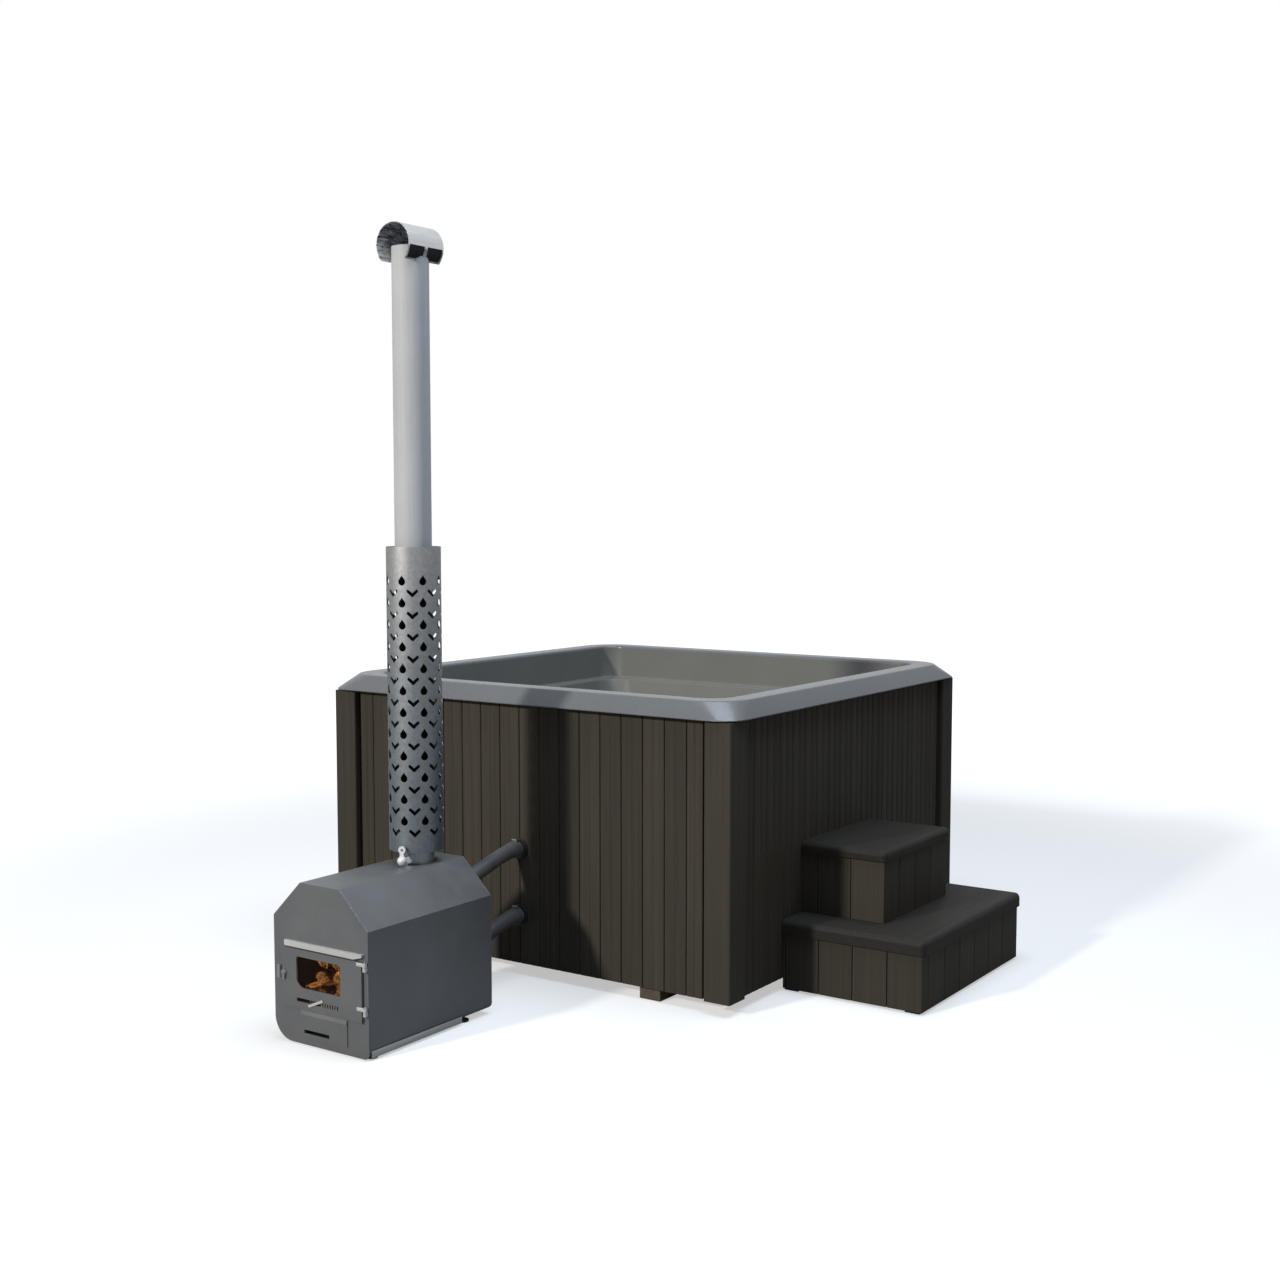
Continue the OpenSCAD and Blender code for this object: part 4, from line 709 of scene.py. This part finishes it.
def moulded_shell():
    """The whole shell: its inside from the rim's foot to the well, and its underside back out."""
    # Half width, corner radius, height and fillet
    inner = profile([
        (RIM_HALF - TURN_IN, RIM_R - TURN_IN, RIM_FOOT_Z - LAST_DROP, 0),
        (RIM_HALF, RIM_R, RIM_FOOT_Z, 0.0018),
        (RIM_HALF, RIM_R, BEVEL_FOOT_Z, 0.004),
        (BEVEL_HALF, BEVEL_R, RIM_Z, 0.011),
        (BASIN_HALF + DRAFT, BASIN_R + DRAFT, RIM_Z, 0.013),
        (BASIN_HALF, BASIN_R, LEDGE_Z, 0.012),
        (LEDGE_HALF, SEAT_R, LEDGE_Z, 0.010),
        (SEAT_HALF, SEAT_R, SEAT_Z, 0.060),
        (WELL_TOP_HALF, SEAT_R, SEAT_Z, 0.024),
        (WELL_HALF, SEAT_R, WELL_Z, 0.045),
        (MIDDLE_HALF, MIDDLE_R, WELL_Z, 0)])
    outer = [
        (MIDDLE_HALF, MIDDLE_R, WELL_UNDER_Z),
        (WELL_HALF + SHEET, SEAT_R + SHEET, WELL_UNDER_Z),
        (WELL_TOP_HALF + SHEET, SEAT_R + SHEET, SEAT_Z - SHEET),
        (SEAT_HALF + SHEET, SEAT_R + SHEET, SEAT_Z - SHEET),
        (LEDGE_HALF + SHEET, SEAT_R + SHEET, LEDGE_Z - SHEET),
        (BASIN_HALF + SHEET, BASIN_R + SHEET, LEDGE_Z - SHEET),
        (BASIN_HALF + SHEET, BASIN_R + SHEET, RIM_UNDER_Z),
        (UNDER_BEVEL_HALF, UNDER_BEVEL_R, RIM_UNDER_Z),
        (RIM_HALF - RIM_SHEET, RIM_R - RIM_SHEET, RIM_FOOT_Z)]
    loops = [square_loop(half, r, z) for half, r, z in inner + outer]
    shell = from_bm("shell_moulded", skin(loops, len(inner) - 1), "tub", M["shell"])
    shell.data.materials.append(M["shell_inner"])
    n = len(loops[0])
    tolerance = 0.0002
    first = next(i for i, p in enumerate(inner) if p[0] < BASIN_HALF + DRAFT + tolerance)
    basin = range(first * n, (len(inner) - 1) * n)
    floor_z = WELL_Z + SHEET / 2
    for p in shell.data.polygons:
        if p.index in basin or p.center.z < floor_z:
            p.material_index = 1
    sharp_by_angle(shell.data, 35)
    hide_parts("rim_moulding", "seat_moulding", "well_moulding")


moulded_shell()

# Cladding boards: pitch, gap between two, face, thickness, round edge and the groove in each
PITCH, GAP, FACE, BOARD_T = 0.0995, 0.003, 0.980, 0.0172
EDGE_R, EDGE_STEPS = 0.0035, 4
GROOVE, LEAST_GROOVED = 0.0022, 0.05
GROOVE_SIDE = ((0.0042, 0), (0.0026, 0.0006), (0.0012, 0.0018))


def board(bm, x0, x1, z0, z1):
    """An upright board in the plane y = 0, its face towards -Y, with round edges and a shallow groove."""
    outline = [(x0, BOARD_T)]
    for corner, start in ((x0 + EDGE_R, 180), (x1 - EDGE_R, 270)):
        for i in range(EDGE_STEPS + 1):
            a = math.radians(start + 90 * i / EDGE_STEPS)
            outline.append((corner + EDGE_R * math.cos(a), EDGE_R + EDGE_R * math.sin(a)))
        if start == 180 and x1 - x0 > LEAST_GROOVED:
            m = (x0 + x1) / 2
            outline += [(m - x, y) for x, y in GROOVE_SIDE]
            outline.append((m, GROOVE))
            outline += [(m + x, y) for x, y in GROOVE_SIDE[::-1]]
    outline.append((x1, BOARD_T))
    foot = [bm.verts.new((x, y, z0)) for x, y in outline]
    head = [bm.verts.new((x, y, z1)) for x, y in outline]
    for i in range(len(outline)):
        j = (i + 1) % len(outline)
        bm.faces.new((foot[i], foot[j], head[j], head[i]))
    bm.faces.new(foot[::-1])
    bm.faces.new(head)


def wall_of_boards(node, turn):
    """One side of the tub: boards set out from its middle to both ends, and turned about the tub's axis."""
    bm = bmesh.new()
    lo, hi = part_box("front_cladding")
    end = -lo.x
    for side in (-1, 1):
        for i in range(int(end / PITCH) + 1):
            a = i * PITCH + GAP / 2
            b = min((i + 1) * PITCH - GAP / 2, end)
            if b - a > GAP:
                board(bm, min(side * a, side * b), max(side * a, side * b), lo.z, hi.z)
    turned = Matrix.Rotation(math.radians(turn), 4, "Z") @ Matrix.Translation((0, -FACE, 0))
    bmesh.ops.transform(bm, matrix=turned, verts=bm.verts)
    o = from_bm(node + "_boards", bm, "tub", M["board"])
    sharp_by_angle(o.data, 40)
    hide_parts(node)


def building_paper():
    """Dark sheets between the boards and the frame, one on each side."""
    half, face, thickness, foot, head = 0.9615, 0.9622, 0.0004, 0.052, 1.0995
    bm = bmesh.new()
    for quarter in range(4):
        box_bm(bm, (-half, -face, foot), (half, thickness - face, head),
               matrix=Matrix.Rotation(math.pi / 2 * quarter, 4, "Z"))
    from_bm("wall_membrane", bm, "tub", M["membrane"], smooth=False)


wall_of_boards("front_cladding", 0)
wall_of_boards("right_cladding", 90)
wall_of_boards("back_cladding", 180)
wall_of_boards("left_cladding", 270)
building_paper()
soften("corner_posts", 0.0012, M["post"])
for node in ("lower_step_boards", "upper_step_boards"):
    soften(node, 0.002, M["board"], 3)
for node in ("lower_tread", "upper_tread"):
    soften(node, 0.0015, M["tread"])

# Stove and cowl
for node in ("stove_casing", "stove_front_plate", "stove_back_plate", "door_plate", "drawer_front",
             "flue_collar", "flue_throat"):
    soften(node, 0.0008, M["stove"])
for node, key in {"heat_lip": "lip", "latch_keeper": "latch", "door_latch": "latch", "air_slider": "slider",
                  "hinge_brackets": "lip", "damper_handle": "handle"}.items():
    soften(node, 0.0006, M[key])
cowl = soften("flue_cowl", 0.0004, M["bright"], 1)
cowl.data.materials.append(M["cowl_soot_and_painted_light"])
COWL_LO, COWL_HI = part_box("flue_cowl")
COWL_R = (COWL_HI.x - COWL_LO.x) / 2
COWL_X, COWL_Z = (COWL_LO.x + COWL_HI.x) / 2, COWL_HI.z - COWL_R
COWL_SHEET = 0.0012
# Faces inside the sheet take the second material: soot, painted shade and painted reflection.
for p in cowl.data.polygons:
    if math.hypot(p.center.x - COWL_X, p.center.z - COWL_Z) < COWL_R - COWL_SHEET:
        p.material_index = 1


def cowl_shade_sheets():
    """Two dark curved sheets behind the openings in the cowl's right side, which are painted shade: they make
    the openings show dark.
    """
    radii = (COWL_R - 0.0035, COWL_R - 0.0028)
    start, span, steps = -2, 42, 8
    end_gap, half_gap = 0.005, 0.007
    middle = (COWL_LO.y + COWL_HI.y) / 2
    bm = bmesh.new()
    for ends in ((COWL_LO.y + end_gap, middle - half_gap), (middle + half_gap, COWL_HI.y - end_gap)):
        rings = []
        for r in radii:
            for y in ends:
                angles = [math.radians(start - span * i / steps) for i in range(steps + 1)]
                rings.append([bm.verts.new((COWL_X + r * math.cos(a), y, COWL_Z + r * math.sin(a)))
                              for a in angles])
        a, b, c, d = rings
        for p, q in ((a, b), (d, c), (b, d), (c, a)):
            for i in range(steps):
                bm.faces.new((p[i], q[i], q[i + 1], p[i + 1]))
        for i in (0, steps):
            bm.faces.new((a[i], b[i], d[i], c[i]))
    guard = from_bm("cowl_shade_sheets", bm, "tub", M["mesh"])
    sharp_by_angle(guard.data, 40)


# The door's face and the axis of its hinge, from the door's box
DOOR_LO, DOOR_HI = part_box("door_plate")
DOOR_Y = DOOR_LO.y + 0.006
HINGE_X, HINGE_Y = DOOR_HI.x - 0.007, DOOR_LO.y + 0.007


def hinge_straps():
    """Bright straps of the hinges, each rolled round its knuckle and held by two rivets."""
    low, top, strap_t, strap_start, clear, edge_r = 0.042, 0.015, 0.0036, 0.184, 0.004, 0.0014
    strap_foot, strap_head, middle = 0.0010, 0.0140, 0.0075
    sleeve = [(0.0071, 0.0008), (0.0078, 0.0012), (0.0078, 0.0138), (0.0071, 0.0142), (0.0071, 0.0008)]
    rivet = [(0, 0.0020), (0.0018, 0.0017), (0.0028, 0.0009), (0.0031, 0.0), (0, 0.0)]
    rivet_places = (0.191, 0.201)
    parts = []
    for z in (DOOR_LO.z + low, DOOR_HI.z - top):
        strap = bmesh.new()
        box_bm(strap, (strap_start, DOOR_Y - strap_t, z + strap_foot),
               (HINGE_X - clear, DOOR_Y, z + strap_head), edge_r)
        parts.append(strap)
        parts.append(lathe(sleeve, (HINGE_X, HINGE_Y, z), "z", 28))
        for x in rivet_places:
            parts.append(lathe(rivet, (x, DOOR_Y - strap_t, z + middle), "-y", 16))
    straps = from_bm("hinge_straps", join_bm(parts), "door", M["lip"])
    sharp_by_angle(straps.data, 40)


def door_return():
    """Flange that closes the gap behind the door's right edge."""
    far, near, front, back, end_gap = 0.0172, 0.0152, 0.0058, 0.0098, 0.0005
    bm = bmesh.new()
    box_bm(bm, (HINGE_X - far, DOOR_Y + front, DOOR_LO.z + end_gap),
           (HINGE_X - near, DOOR_Y + back, DOOR_HI.z - end_gap), 0.0005)
    from_bm("door_return", bm, "door", M["stove"])


def runner(name, z0, z1, x1, mat):
    """A bar along the foot of the casing's right side."""
    x0, start, length = 0.2235, 0.008, 0.470
    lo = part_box("stove_casing")[0]
    bm = bmesh.new()
    box_bm(bm, (x0, lo.y + start, z0), (x1, lo.y + start + length, z1), 0.0008)
    from_bm(name, bm, "tub", mat)


cowl_shade_sheets()
hinge_straps()
door_return()
runner("stove_runner", 0.009, 0.0335, 0.2274, M["runner"])
# Painted shade: a near-black strip above the runner, for the shadow in the gap under the casing.
runner("runner_shade_line", 0.0336, 0.0368, 0.2268, M["plastic"])

# Heat shield: the lattice of its holes, its sheet, and the points on each side of a rhombus of the lattice
SHIELD_R, SHIELD_SHEET = (SHIELD_HI.x - SHIELD_LO.x) / 2, 0.002
HOLE_COUNT, HOLE_ROWS, HOLE_PITCH = 8, 24, 0.0398
HOLE_START, HOLE_TURN = 0.076, -0.0105
HOLE_STEP = 2 * math.pi * SHIELD_R / HOLE_COUNT
SIDE_POINTS = 8
# Outlines as (angle in degrees, radius in mm) about a point that lies a drop below the rhombus's middle
CHEVRON = ((90, 3.2), (82, 3.8), (72, 5.2), (60, 9), (46, 24), (32, 24.5), (19, 22.5), (8.4, 16), (0, 13),
           (-19, 10), (-46, 9.2), (-72, 10), (-90, 12.5))
TEARDROP = ((90, 22), (82, 18), (72, 15.5), (60, 13.8), (46, 12.8), (32, 12.8), (19, 13.1), (0, 13.6),
            (-32, 14.6), (-60, 15), (-90, 15))
CHEVRON_DROP, TEARDROP_DROP = 0.006, 0.0


def hole_point(point, outline, drop):
    """The hole's point in the direction of a point on the rhombus."""
    t = math.degrees(math.atan2(point[1], abs(point[0])))
    for (t0, r0), (t1, r1) in zip(outline, outline[1:]):
        if t1 <= t <= t0 + 1e-9:
            w = (t0 - t) / (t0 - t1)
            r = (r0 * (1 - w) + r1 * w) / 1000
            break
    x = math.copysign(r * math.cos(math.radians(t)), point[0] or 1.0)
    return x, r * math.sin(math.radians(t)) - drop


def shield():
    """Perforated sleeve: rows of chevrons and teardrops by turns, in a flat lattice that is then rolled."""
    cx, cy = (SHIELD_LO.x + SHIELD_HI.x) / 2, (SHIELD_LO.y + SHIELD_HI.y) / 2
    half_step = HOLE_STEP / 2
    bm = bmesh.new()
    made = {}

    def vert(u, z, layer):
        """The vertex at the distance u round the sleeve: layer 0 is the outside, layer 1 the inside."""
        around = HOLE_STEP * HOLE_COUNT
        key = (round((u % around) * 1e6) % round(around * 1e6), round(z * 1e6), layer)
        if key not in made:
            r = SHIELD_R - layer * SHIELD_SHEET
            made[key] = bm.verts.new((cx + r * math.sin(u / SHIELD_R), cy - r * math.cos(u / SHIELD_R), z))
        return made[key]

    def face(points, layer):
        bm.faces.new([vert(*p, layer) for p in points])

    def across(p, q):
        """The face between the two layers, over the edge from p to q."""
        bm.faces.new([vert(*p, 0), vert(*q, 0), vert(*q, 1), vert(*p, 1)])

    rims = []
    for i in range(4 * SIDE_POINTS):
        f = (i % SIDE_POINTS) / SIDE_POINTS
        rims.append([(half_step * (1 - f), HOLE_PITCH * f), (-half_step * f, HOLE_PITCH * (1 - f)),
                     (-half_step * (1 - f), -HOLE_PITCH * f),
                     (half_step * f, -HOLE_PITCH * (1 - f))][i // SIDE_POINTS])
    n = len(rims)
    rows = [SHIELD_LO.z + HOLE_START + r * HOLE_PITCH for r in range(HOLE_ROWS)]
    for r, z in enumerate(rows):
        outline, drop = (TEARDROP, TEARDROP_DROP) if r % 2 else (CHEVRON, CHEVRON_DROP)
        holes = [hole_point(p, outline, drop) for p in rims]
        for i in range(HOLE_COUNT):
            u = (i + (r % 2) / 2) * HOLE_STEP + HOLE_TURN
            rings = [[(u + h[0] * (1 - share) + p[0] * share, z + h[1] * (1 - share) + p[1] * share)
                      for h, p in zip(holes, rims)] for share in (0, 0.3, 1)]
            for g, h in zip(rings, rings[1:]):
                for j in range(n):
                    k = (j + 1) % n
                    face((g[j], g[k], h[k], h[j]), 0)
                    face((g[k], g[j], h[j], h[k]), 1)
            for j in range(n):
                across(rings[0][(j + 1) % n], rings[0][j])
    # Plain bands above and below the rows: from the lattice's zigzag to a straight line, and on to the end
    for r, sign, edge in ((HOLE_ROWS - 1, 1, SHIELD_HI.z), (0, -1, SHIELD_LO.z)):
        line = rows[r] + sign * HOLE_PITCH
        order = range(n // 2, -1, -1) if sign > 0 else range(n // 2, n + 1)
        levels = [line + (edge - line) * share for share in (0, 0.5, 0.955, 1)]
        for i in range(HOLE_COUNT):
            u = (i + (r % 2) / 2) * HOLE_STEP + HOLE_TURN
            zigzag = [(u + rims[j % n][0], rows[r] + rims[j % n][1]) for j in order]
            flat = [(p[0], line) for p in zigzag]
            for p0, p1, f0, f1 in zip(zigzag, zigzag[1:], flat, flat[1:]):
                seen, corners = set(), []
                for p in (p0, p1, f1, f0):
                    key = (round(p[0], 7), round(p[1], 7))
                    if key not in seen:
                        seen.add(key)
                        corners.append(p)
                for layer in (0, 1):
                    face(corners if (sign > 0) == (layer == 0) else corners[::-1], layer)
            for z0, z1 in zip(levels, levels[1:]):
                for (x0, _), (x1, _) in zip(flat, flat[1:]):
                    corners = [(x0, z0), (x1, z0), (x1, z1), (x0, z1)]
                    for layer in (0, 1):
                        face(corners if (sign > 0) == (layer == 0) else corners[::-1], layer)
            for (x0, _), (x1, _) in zip(flat, flat[1:]):
                across((x0, edge), (x1, edge))
    sheet = from_bm("shield_sheet", bm, "tub", M["shield"])
    sharp_by_angle(sheet.data, 50)
    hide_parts("heat_shield")


shield()


# Hoses
def smooth_share(value):
    """A share from 0 to 1 that starts and ends gently."""
    t = min(1, max(0, value))
    return t * t * (3 - 2 * t)


def hose(name, node):
    """A hose with thicker cuffs at both ends, which climbs from the stove to the tub in a flat S."""
    r, bore, cuff_r, cuff_gap, end_round = 0.030, 0.0252, 0.0335, 0.0012, 0.002
    cuff_l, taper, steps, n = 0.050, 0.012, 60, 40
    curved = 0.35
    lo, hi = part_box(node)
    z0, z1 = lo.z + cuff_r, hi.z - cuff_r
    path, radii = [], []
    for i in range(steps + 1):
        y = lo.y + (hi.y - lo.y) * i / steps
        along = min(1, max(0, (y - lo.y - cuff_l) / (hi.y - lo.y - 2 * cuff_l)))
        path.append((0, y, z0 + (z1 - z0) * (smooth_share(along) * curved + along * (1 - curved))))
        from_cuff = (min(y - lo.y, hi.y - y) - cuff_l) / taper
        radii.append(cuff_r - cuff_gap + (r - cuff_r + cuff_gap) * smooth_share(from_cuff))
    radii[0] -= end_round
    radii[-1] -= end_round
    loops = tube(path, radii, n) + tube(path, bore, n)[::-1]
    o = from_bm(name, skin(loops), "tub", M["hose"])
    sharp_by_angle(o.data, 45)
    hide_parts(node)


hose("hose_hot", "hot_hose")
hose("hose_cold", "cold_hose")
soften("hose_clamps", 0.0004, M["clamp"], 1)
soften("wall_unions", 0.001, M["union"])

# Firewood: radius of a log, gaps between two logs and two layers, and the first and last place of each layer
LOG_R, LOG_GAP, LAYER_GAP, LOG_LIFT = 0.034, 0.002, 0.0003, 0.001
LAYERS = ((0, 3), (1, 3), (1, 2))


def split_log(cx, cz, y0, y1, seed, turn):
    """A log as one bmesh, with bark on its round side (material 0), split faces (1) and ends (2)."""
    arc_points, edge_points, stretches, fit = 12, 5, 22, 0.97
    grain, along, seed_shift, rough, swell, shrunk_end = 40, 9, 3.1, 0.0022, 1.2, 0.985
    r = np.random.default_rng(seed)
    span = math.radians(r.uniform(120, 175))
    arc = [(LOG_R * math.cos(a), LOG_R * math.sin(a)) for a in np.linspace(-span / 2, span / 2, arc_points)]
    apex = (-LOG_R * r.uniform(0.25, 0.5), LOG_R * r.uniform(-0.2, 0.2))

    def between(p, q):
        shares = np.linspace(0, 1, edge_points)[1:-1]
        return [(p[0] + (q[0] - p[0]) * t, p[1] + (q[1] - p[1]) * t) for t in shares]

    ring = arc + between(arc[-1], apex) + [apex] + between(apex, arc[0])
    middle = (min(p[0] for p in ring) + max(p[0] for p in ring)) / 2
    ring = [(p[0] - middle, p[1]) for p in ring]
    scale = min(1.0, LOG_R * fit / max(math.hypot(*p) for p in ring))
    c, s = math.cos(turn), math.sin(turn)
    n = len(ring)
    bm = bmesh.new()
    rows = []
    for j in range(stretches + 1):
        y = y0 + (y1 - y0) * j / stretches
        row = []
        for x, z in ring:
            bulge = noise.noise(Vector((x * grain + seed * seed_shift, y * along, z * grain))) * rough
            f = scale * (1 + bulge / LOG_R * swell) * (shrunk_end if j in (0, stretches) else 1)
            row.append(bm.verts.new((cx + x * f * c - z * f * s, y, cz + x * f * s + z * f * c)))
        rows.append(row)
    for a, b in zip(rows, rows[1:]):
        for i in range(n):
            k = (i + 1) % n
            f = bm.faces.new((a[i], a[k], b[k], b[i]))
            f.material_index = 0 if i < arc_points - 1 else 1
    for end in (rows[0][::-1], rows[-1]):
        f = bm.faces.new(end)
        f.material_index = 2
    return bm


def firewood():
    """The stack of split logs in the firebox."""
    lo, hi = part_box("firewood")
    layer_h = 2 * LOG_R * math.cos(math.pi / 6)
    places = [(layer, i) for layer, (first, last) in enumerate(LAYERS) for i in range(first, last + 1)]
    parts = []
    for seed, (layer, i) in enumerate(places, 3):
        cx = lo.x + LOG_R + i * (2 * LOG_R + LOG_GAP)
        cz = lo.z + layer_h / 2 + layer * (layer_h + LAYER_GAP) + LOG_LIFT
        turn = rng.uniform(0, 2 * math.pi)
        parts.append(split_log(cx, cz, lo.y + rng.uniform(0.001, 0.02), hi.y - rng.uniform(0.001, 0.03),
                               seed, turn))
    logs = from_bm("split_logs", join_bm(parts), "tub", M["bark"])
    logs.data.materials.append(M["split"])
    logs.data.materials.append(M["end"])
    sharp_by_angle(logs.data, 40)
    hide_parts("firewood")


firewood()

# Drain, feet and timber
for node, key in {"drain_valve": "brass", "valve_lever": "lever", "stove_feet": "plastic",
                  "step_feet": "plastic"}.items():
    soften(node, 0.0008, M[key])
for node, key in {"base_bearers": "bearer", "floor_joists": "timber_x", "bottom_rails": "timber_x",
                  "step_frame": "timber_z"}.items():
    soften(node, 0.0015, M[key], 1)


# Floor, world and lights
def floor_material():
    """A grey floor for the light that it throws back, which the camera sees fade to white."""
    near, far, dimmest = 2.6, 7.0, 0.50
    m = bpy.data.materials.new("floor")
    m.use_nodes = True
    nodes, link = m.node_tree.nodes, m.node_tree.links.new
    thrown = nodes["Principled BSDF"]
    thrown.inputs["Base Color"].default_value = (0.34, 0.34, 0.34, 1)
    thrown.inputs["Roughness"].default_value = 0.9
    thrown.inputs["Specular IOR Level"].default_value = 0.1
    seen = nodes.new("ShaderNodeBsdfDiffuse")
    seen.inputs["Color"].default_value = (0.55, 0.55, 0.55, 1)
    distance = nodes.new("ShaderNodeVectorMath")
    distance.operation = "LENGTH"
    link(nodes.new("ShaderNodeTexCoord").outputs["Object"], distance.inputs[0])
    reach = nodes.new("ShaderNodeMapRange")
    reach.interpolation_type = "SMOOTHSTEP"
    for socket, value in {"From Min": near, "From Max": far, "To Min": dimmest, "To Max": 1.0}.items():
        reach.inputs[socket].default_value = value
    link(distance.outputs["Value"], reach.inputs["Value"])
    glow = nodes.new("ShaderNodeEmission")
    link(reach.outputs[0], glow.inputs["Strength"])
    both = nodes.new("ShaderNodeAddShader")
    link(seen.outputs[0], both.inputs[0])
    link(glow.outputs[0], both.inputs[1])
    path = nodes.new("ShaderNodeLightPath")
    pick = nodes.new("ShaderNodeMixShader")
    link(path.outputs["Is Camera Ray"], pick.inputs[0])
    link(thrown.outputs[0], pick.inputs[1])
    link(both.outputs[0], pick.inputs[2])
    link(pick.outputs[0], nodes["Material Output"].inputs["Surface"])
    return m


def studio_floor():
    """A wide flat floor, which isn't part of the object."""
    half = 40
    bm = bmesh.new()
    bmesh.ops.create_grid(bm, x_segments=1, y_segments=1, size=half)
    floor = new_object("floor", new_mesh("floor", bm))
    floor.data.materials.append(floor_material())


def studio_world():
    """White behind the object and its glass, dimmer white in reflections, and a faint blue light."""
    sky_colour, sky_strength, mirrored_share = (0.80, 0.90, 1.0, 1), 0.075, 0.65
    world = bpy.data.worlds.new("world")
    bpy.context.scene.world = world
    world.use_nodes = True
    nodes, link = world.node_tree.nodes, world.node_tree.links.new
    sky = nodes["Background"]
    sky.inputs["Color"].default_value = sky_colour
    sky.inputs["Strength"].default_value = sky_strength
    white = nodes.new("ShaderNodeBackground")
    white.inputs["Color"].default_value = (1, 1, 1, 1)
    white.inputs["Strength"].default_value = 1.0
    path = nodes.new("ShaderNodeLightPath")
    mirrored = nodes.new("ShaderNodeMath")
    mirrored.operation = "MULTIPLY"
    mirrored.inputs[1].default_value = mirrored_share
    link(path.outputs["Is Glossy Ray"], mirrored.inputs[0])
    through = nodes.new("ShaderNodeMath")
    through.operation = "MAXIMUM"
    link(path.outputs["Is Transmission Ray"], through.inputs[0])
    link(mirrored.outputs[0], through.inputs[1])
    seen = nodes.new("ShaderNodeMath")
    seen.operation = "MAXIMUM"
    link(path.outputs["Is Camera Ray"], seen.inputs[0])
    link(through.outputs[0], seen.inputs[1])
    pick = nodes.new("ShaderNodeMixShader")
    link(seen.outputs[0], pick.inputs[0])
    link(sky.outputs[0], pick.inputs[1])
    link(white.outputs[0], pick.inputs[2])
    link(pick.outputs[0], nodes["World Output"].inputs["Surface"])


def area(name, place, target, size, power, colour):
    """A round area light that looks at a target."""
    d = bpy.data.lights.new(name, "AREA")
    d.shape = "DISK"
    d.size = size
    d.energy = power
    d.color = colour
    o = new_object(name, d)
    o.location = place
    o.rotation_euler = (Vector(target) - Vector(place)).to_track_quat("-Z", "Y").to_euler()


studio_floor()
studio_world()
area("key", (-3.9, -17.9, 8.7), (0, -1.2, 0.5), 1.5, 2900, (1.0, 0.965, 0.92))
area("sky", (1.9, -1.0, 8.0), (0, -0.7, 0.6), 6.0, 560, (0.74, 0.85, 1.0))
WOOD_LO, WOOD_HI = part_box("firewood")
WOOD_X = (WOOD_LO.x + WOOD_HI.x) / 2
area("fire", (WOOD_X - 0.05, WOOD_LO.y + 0.012, WOOD_HI.z + 0.045),
     (WOOD_X + 0.03, WOOD_LO.y + 0.03, WOOD_LO.z + 0.05), 0.03, 0.5, (1.0, 0.78, 0.50))

bpy.context.scene.view_settings.view_transform = "Standard"
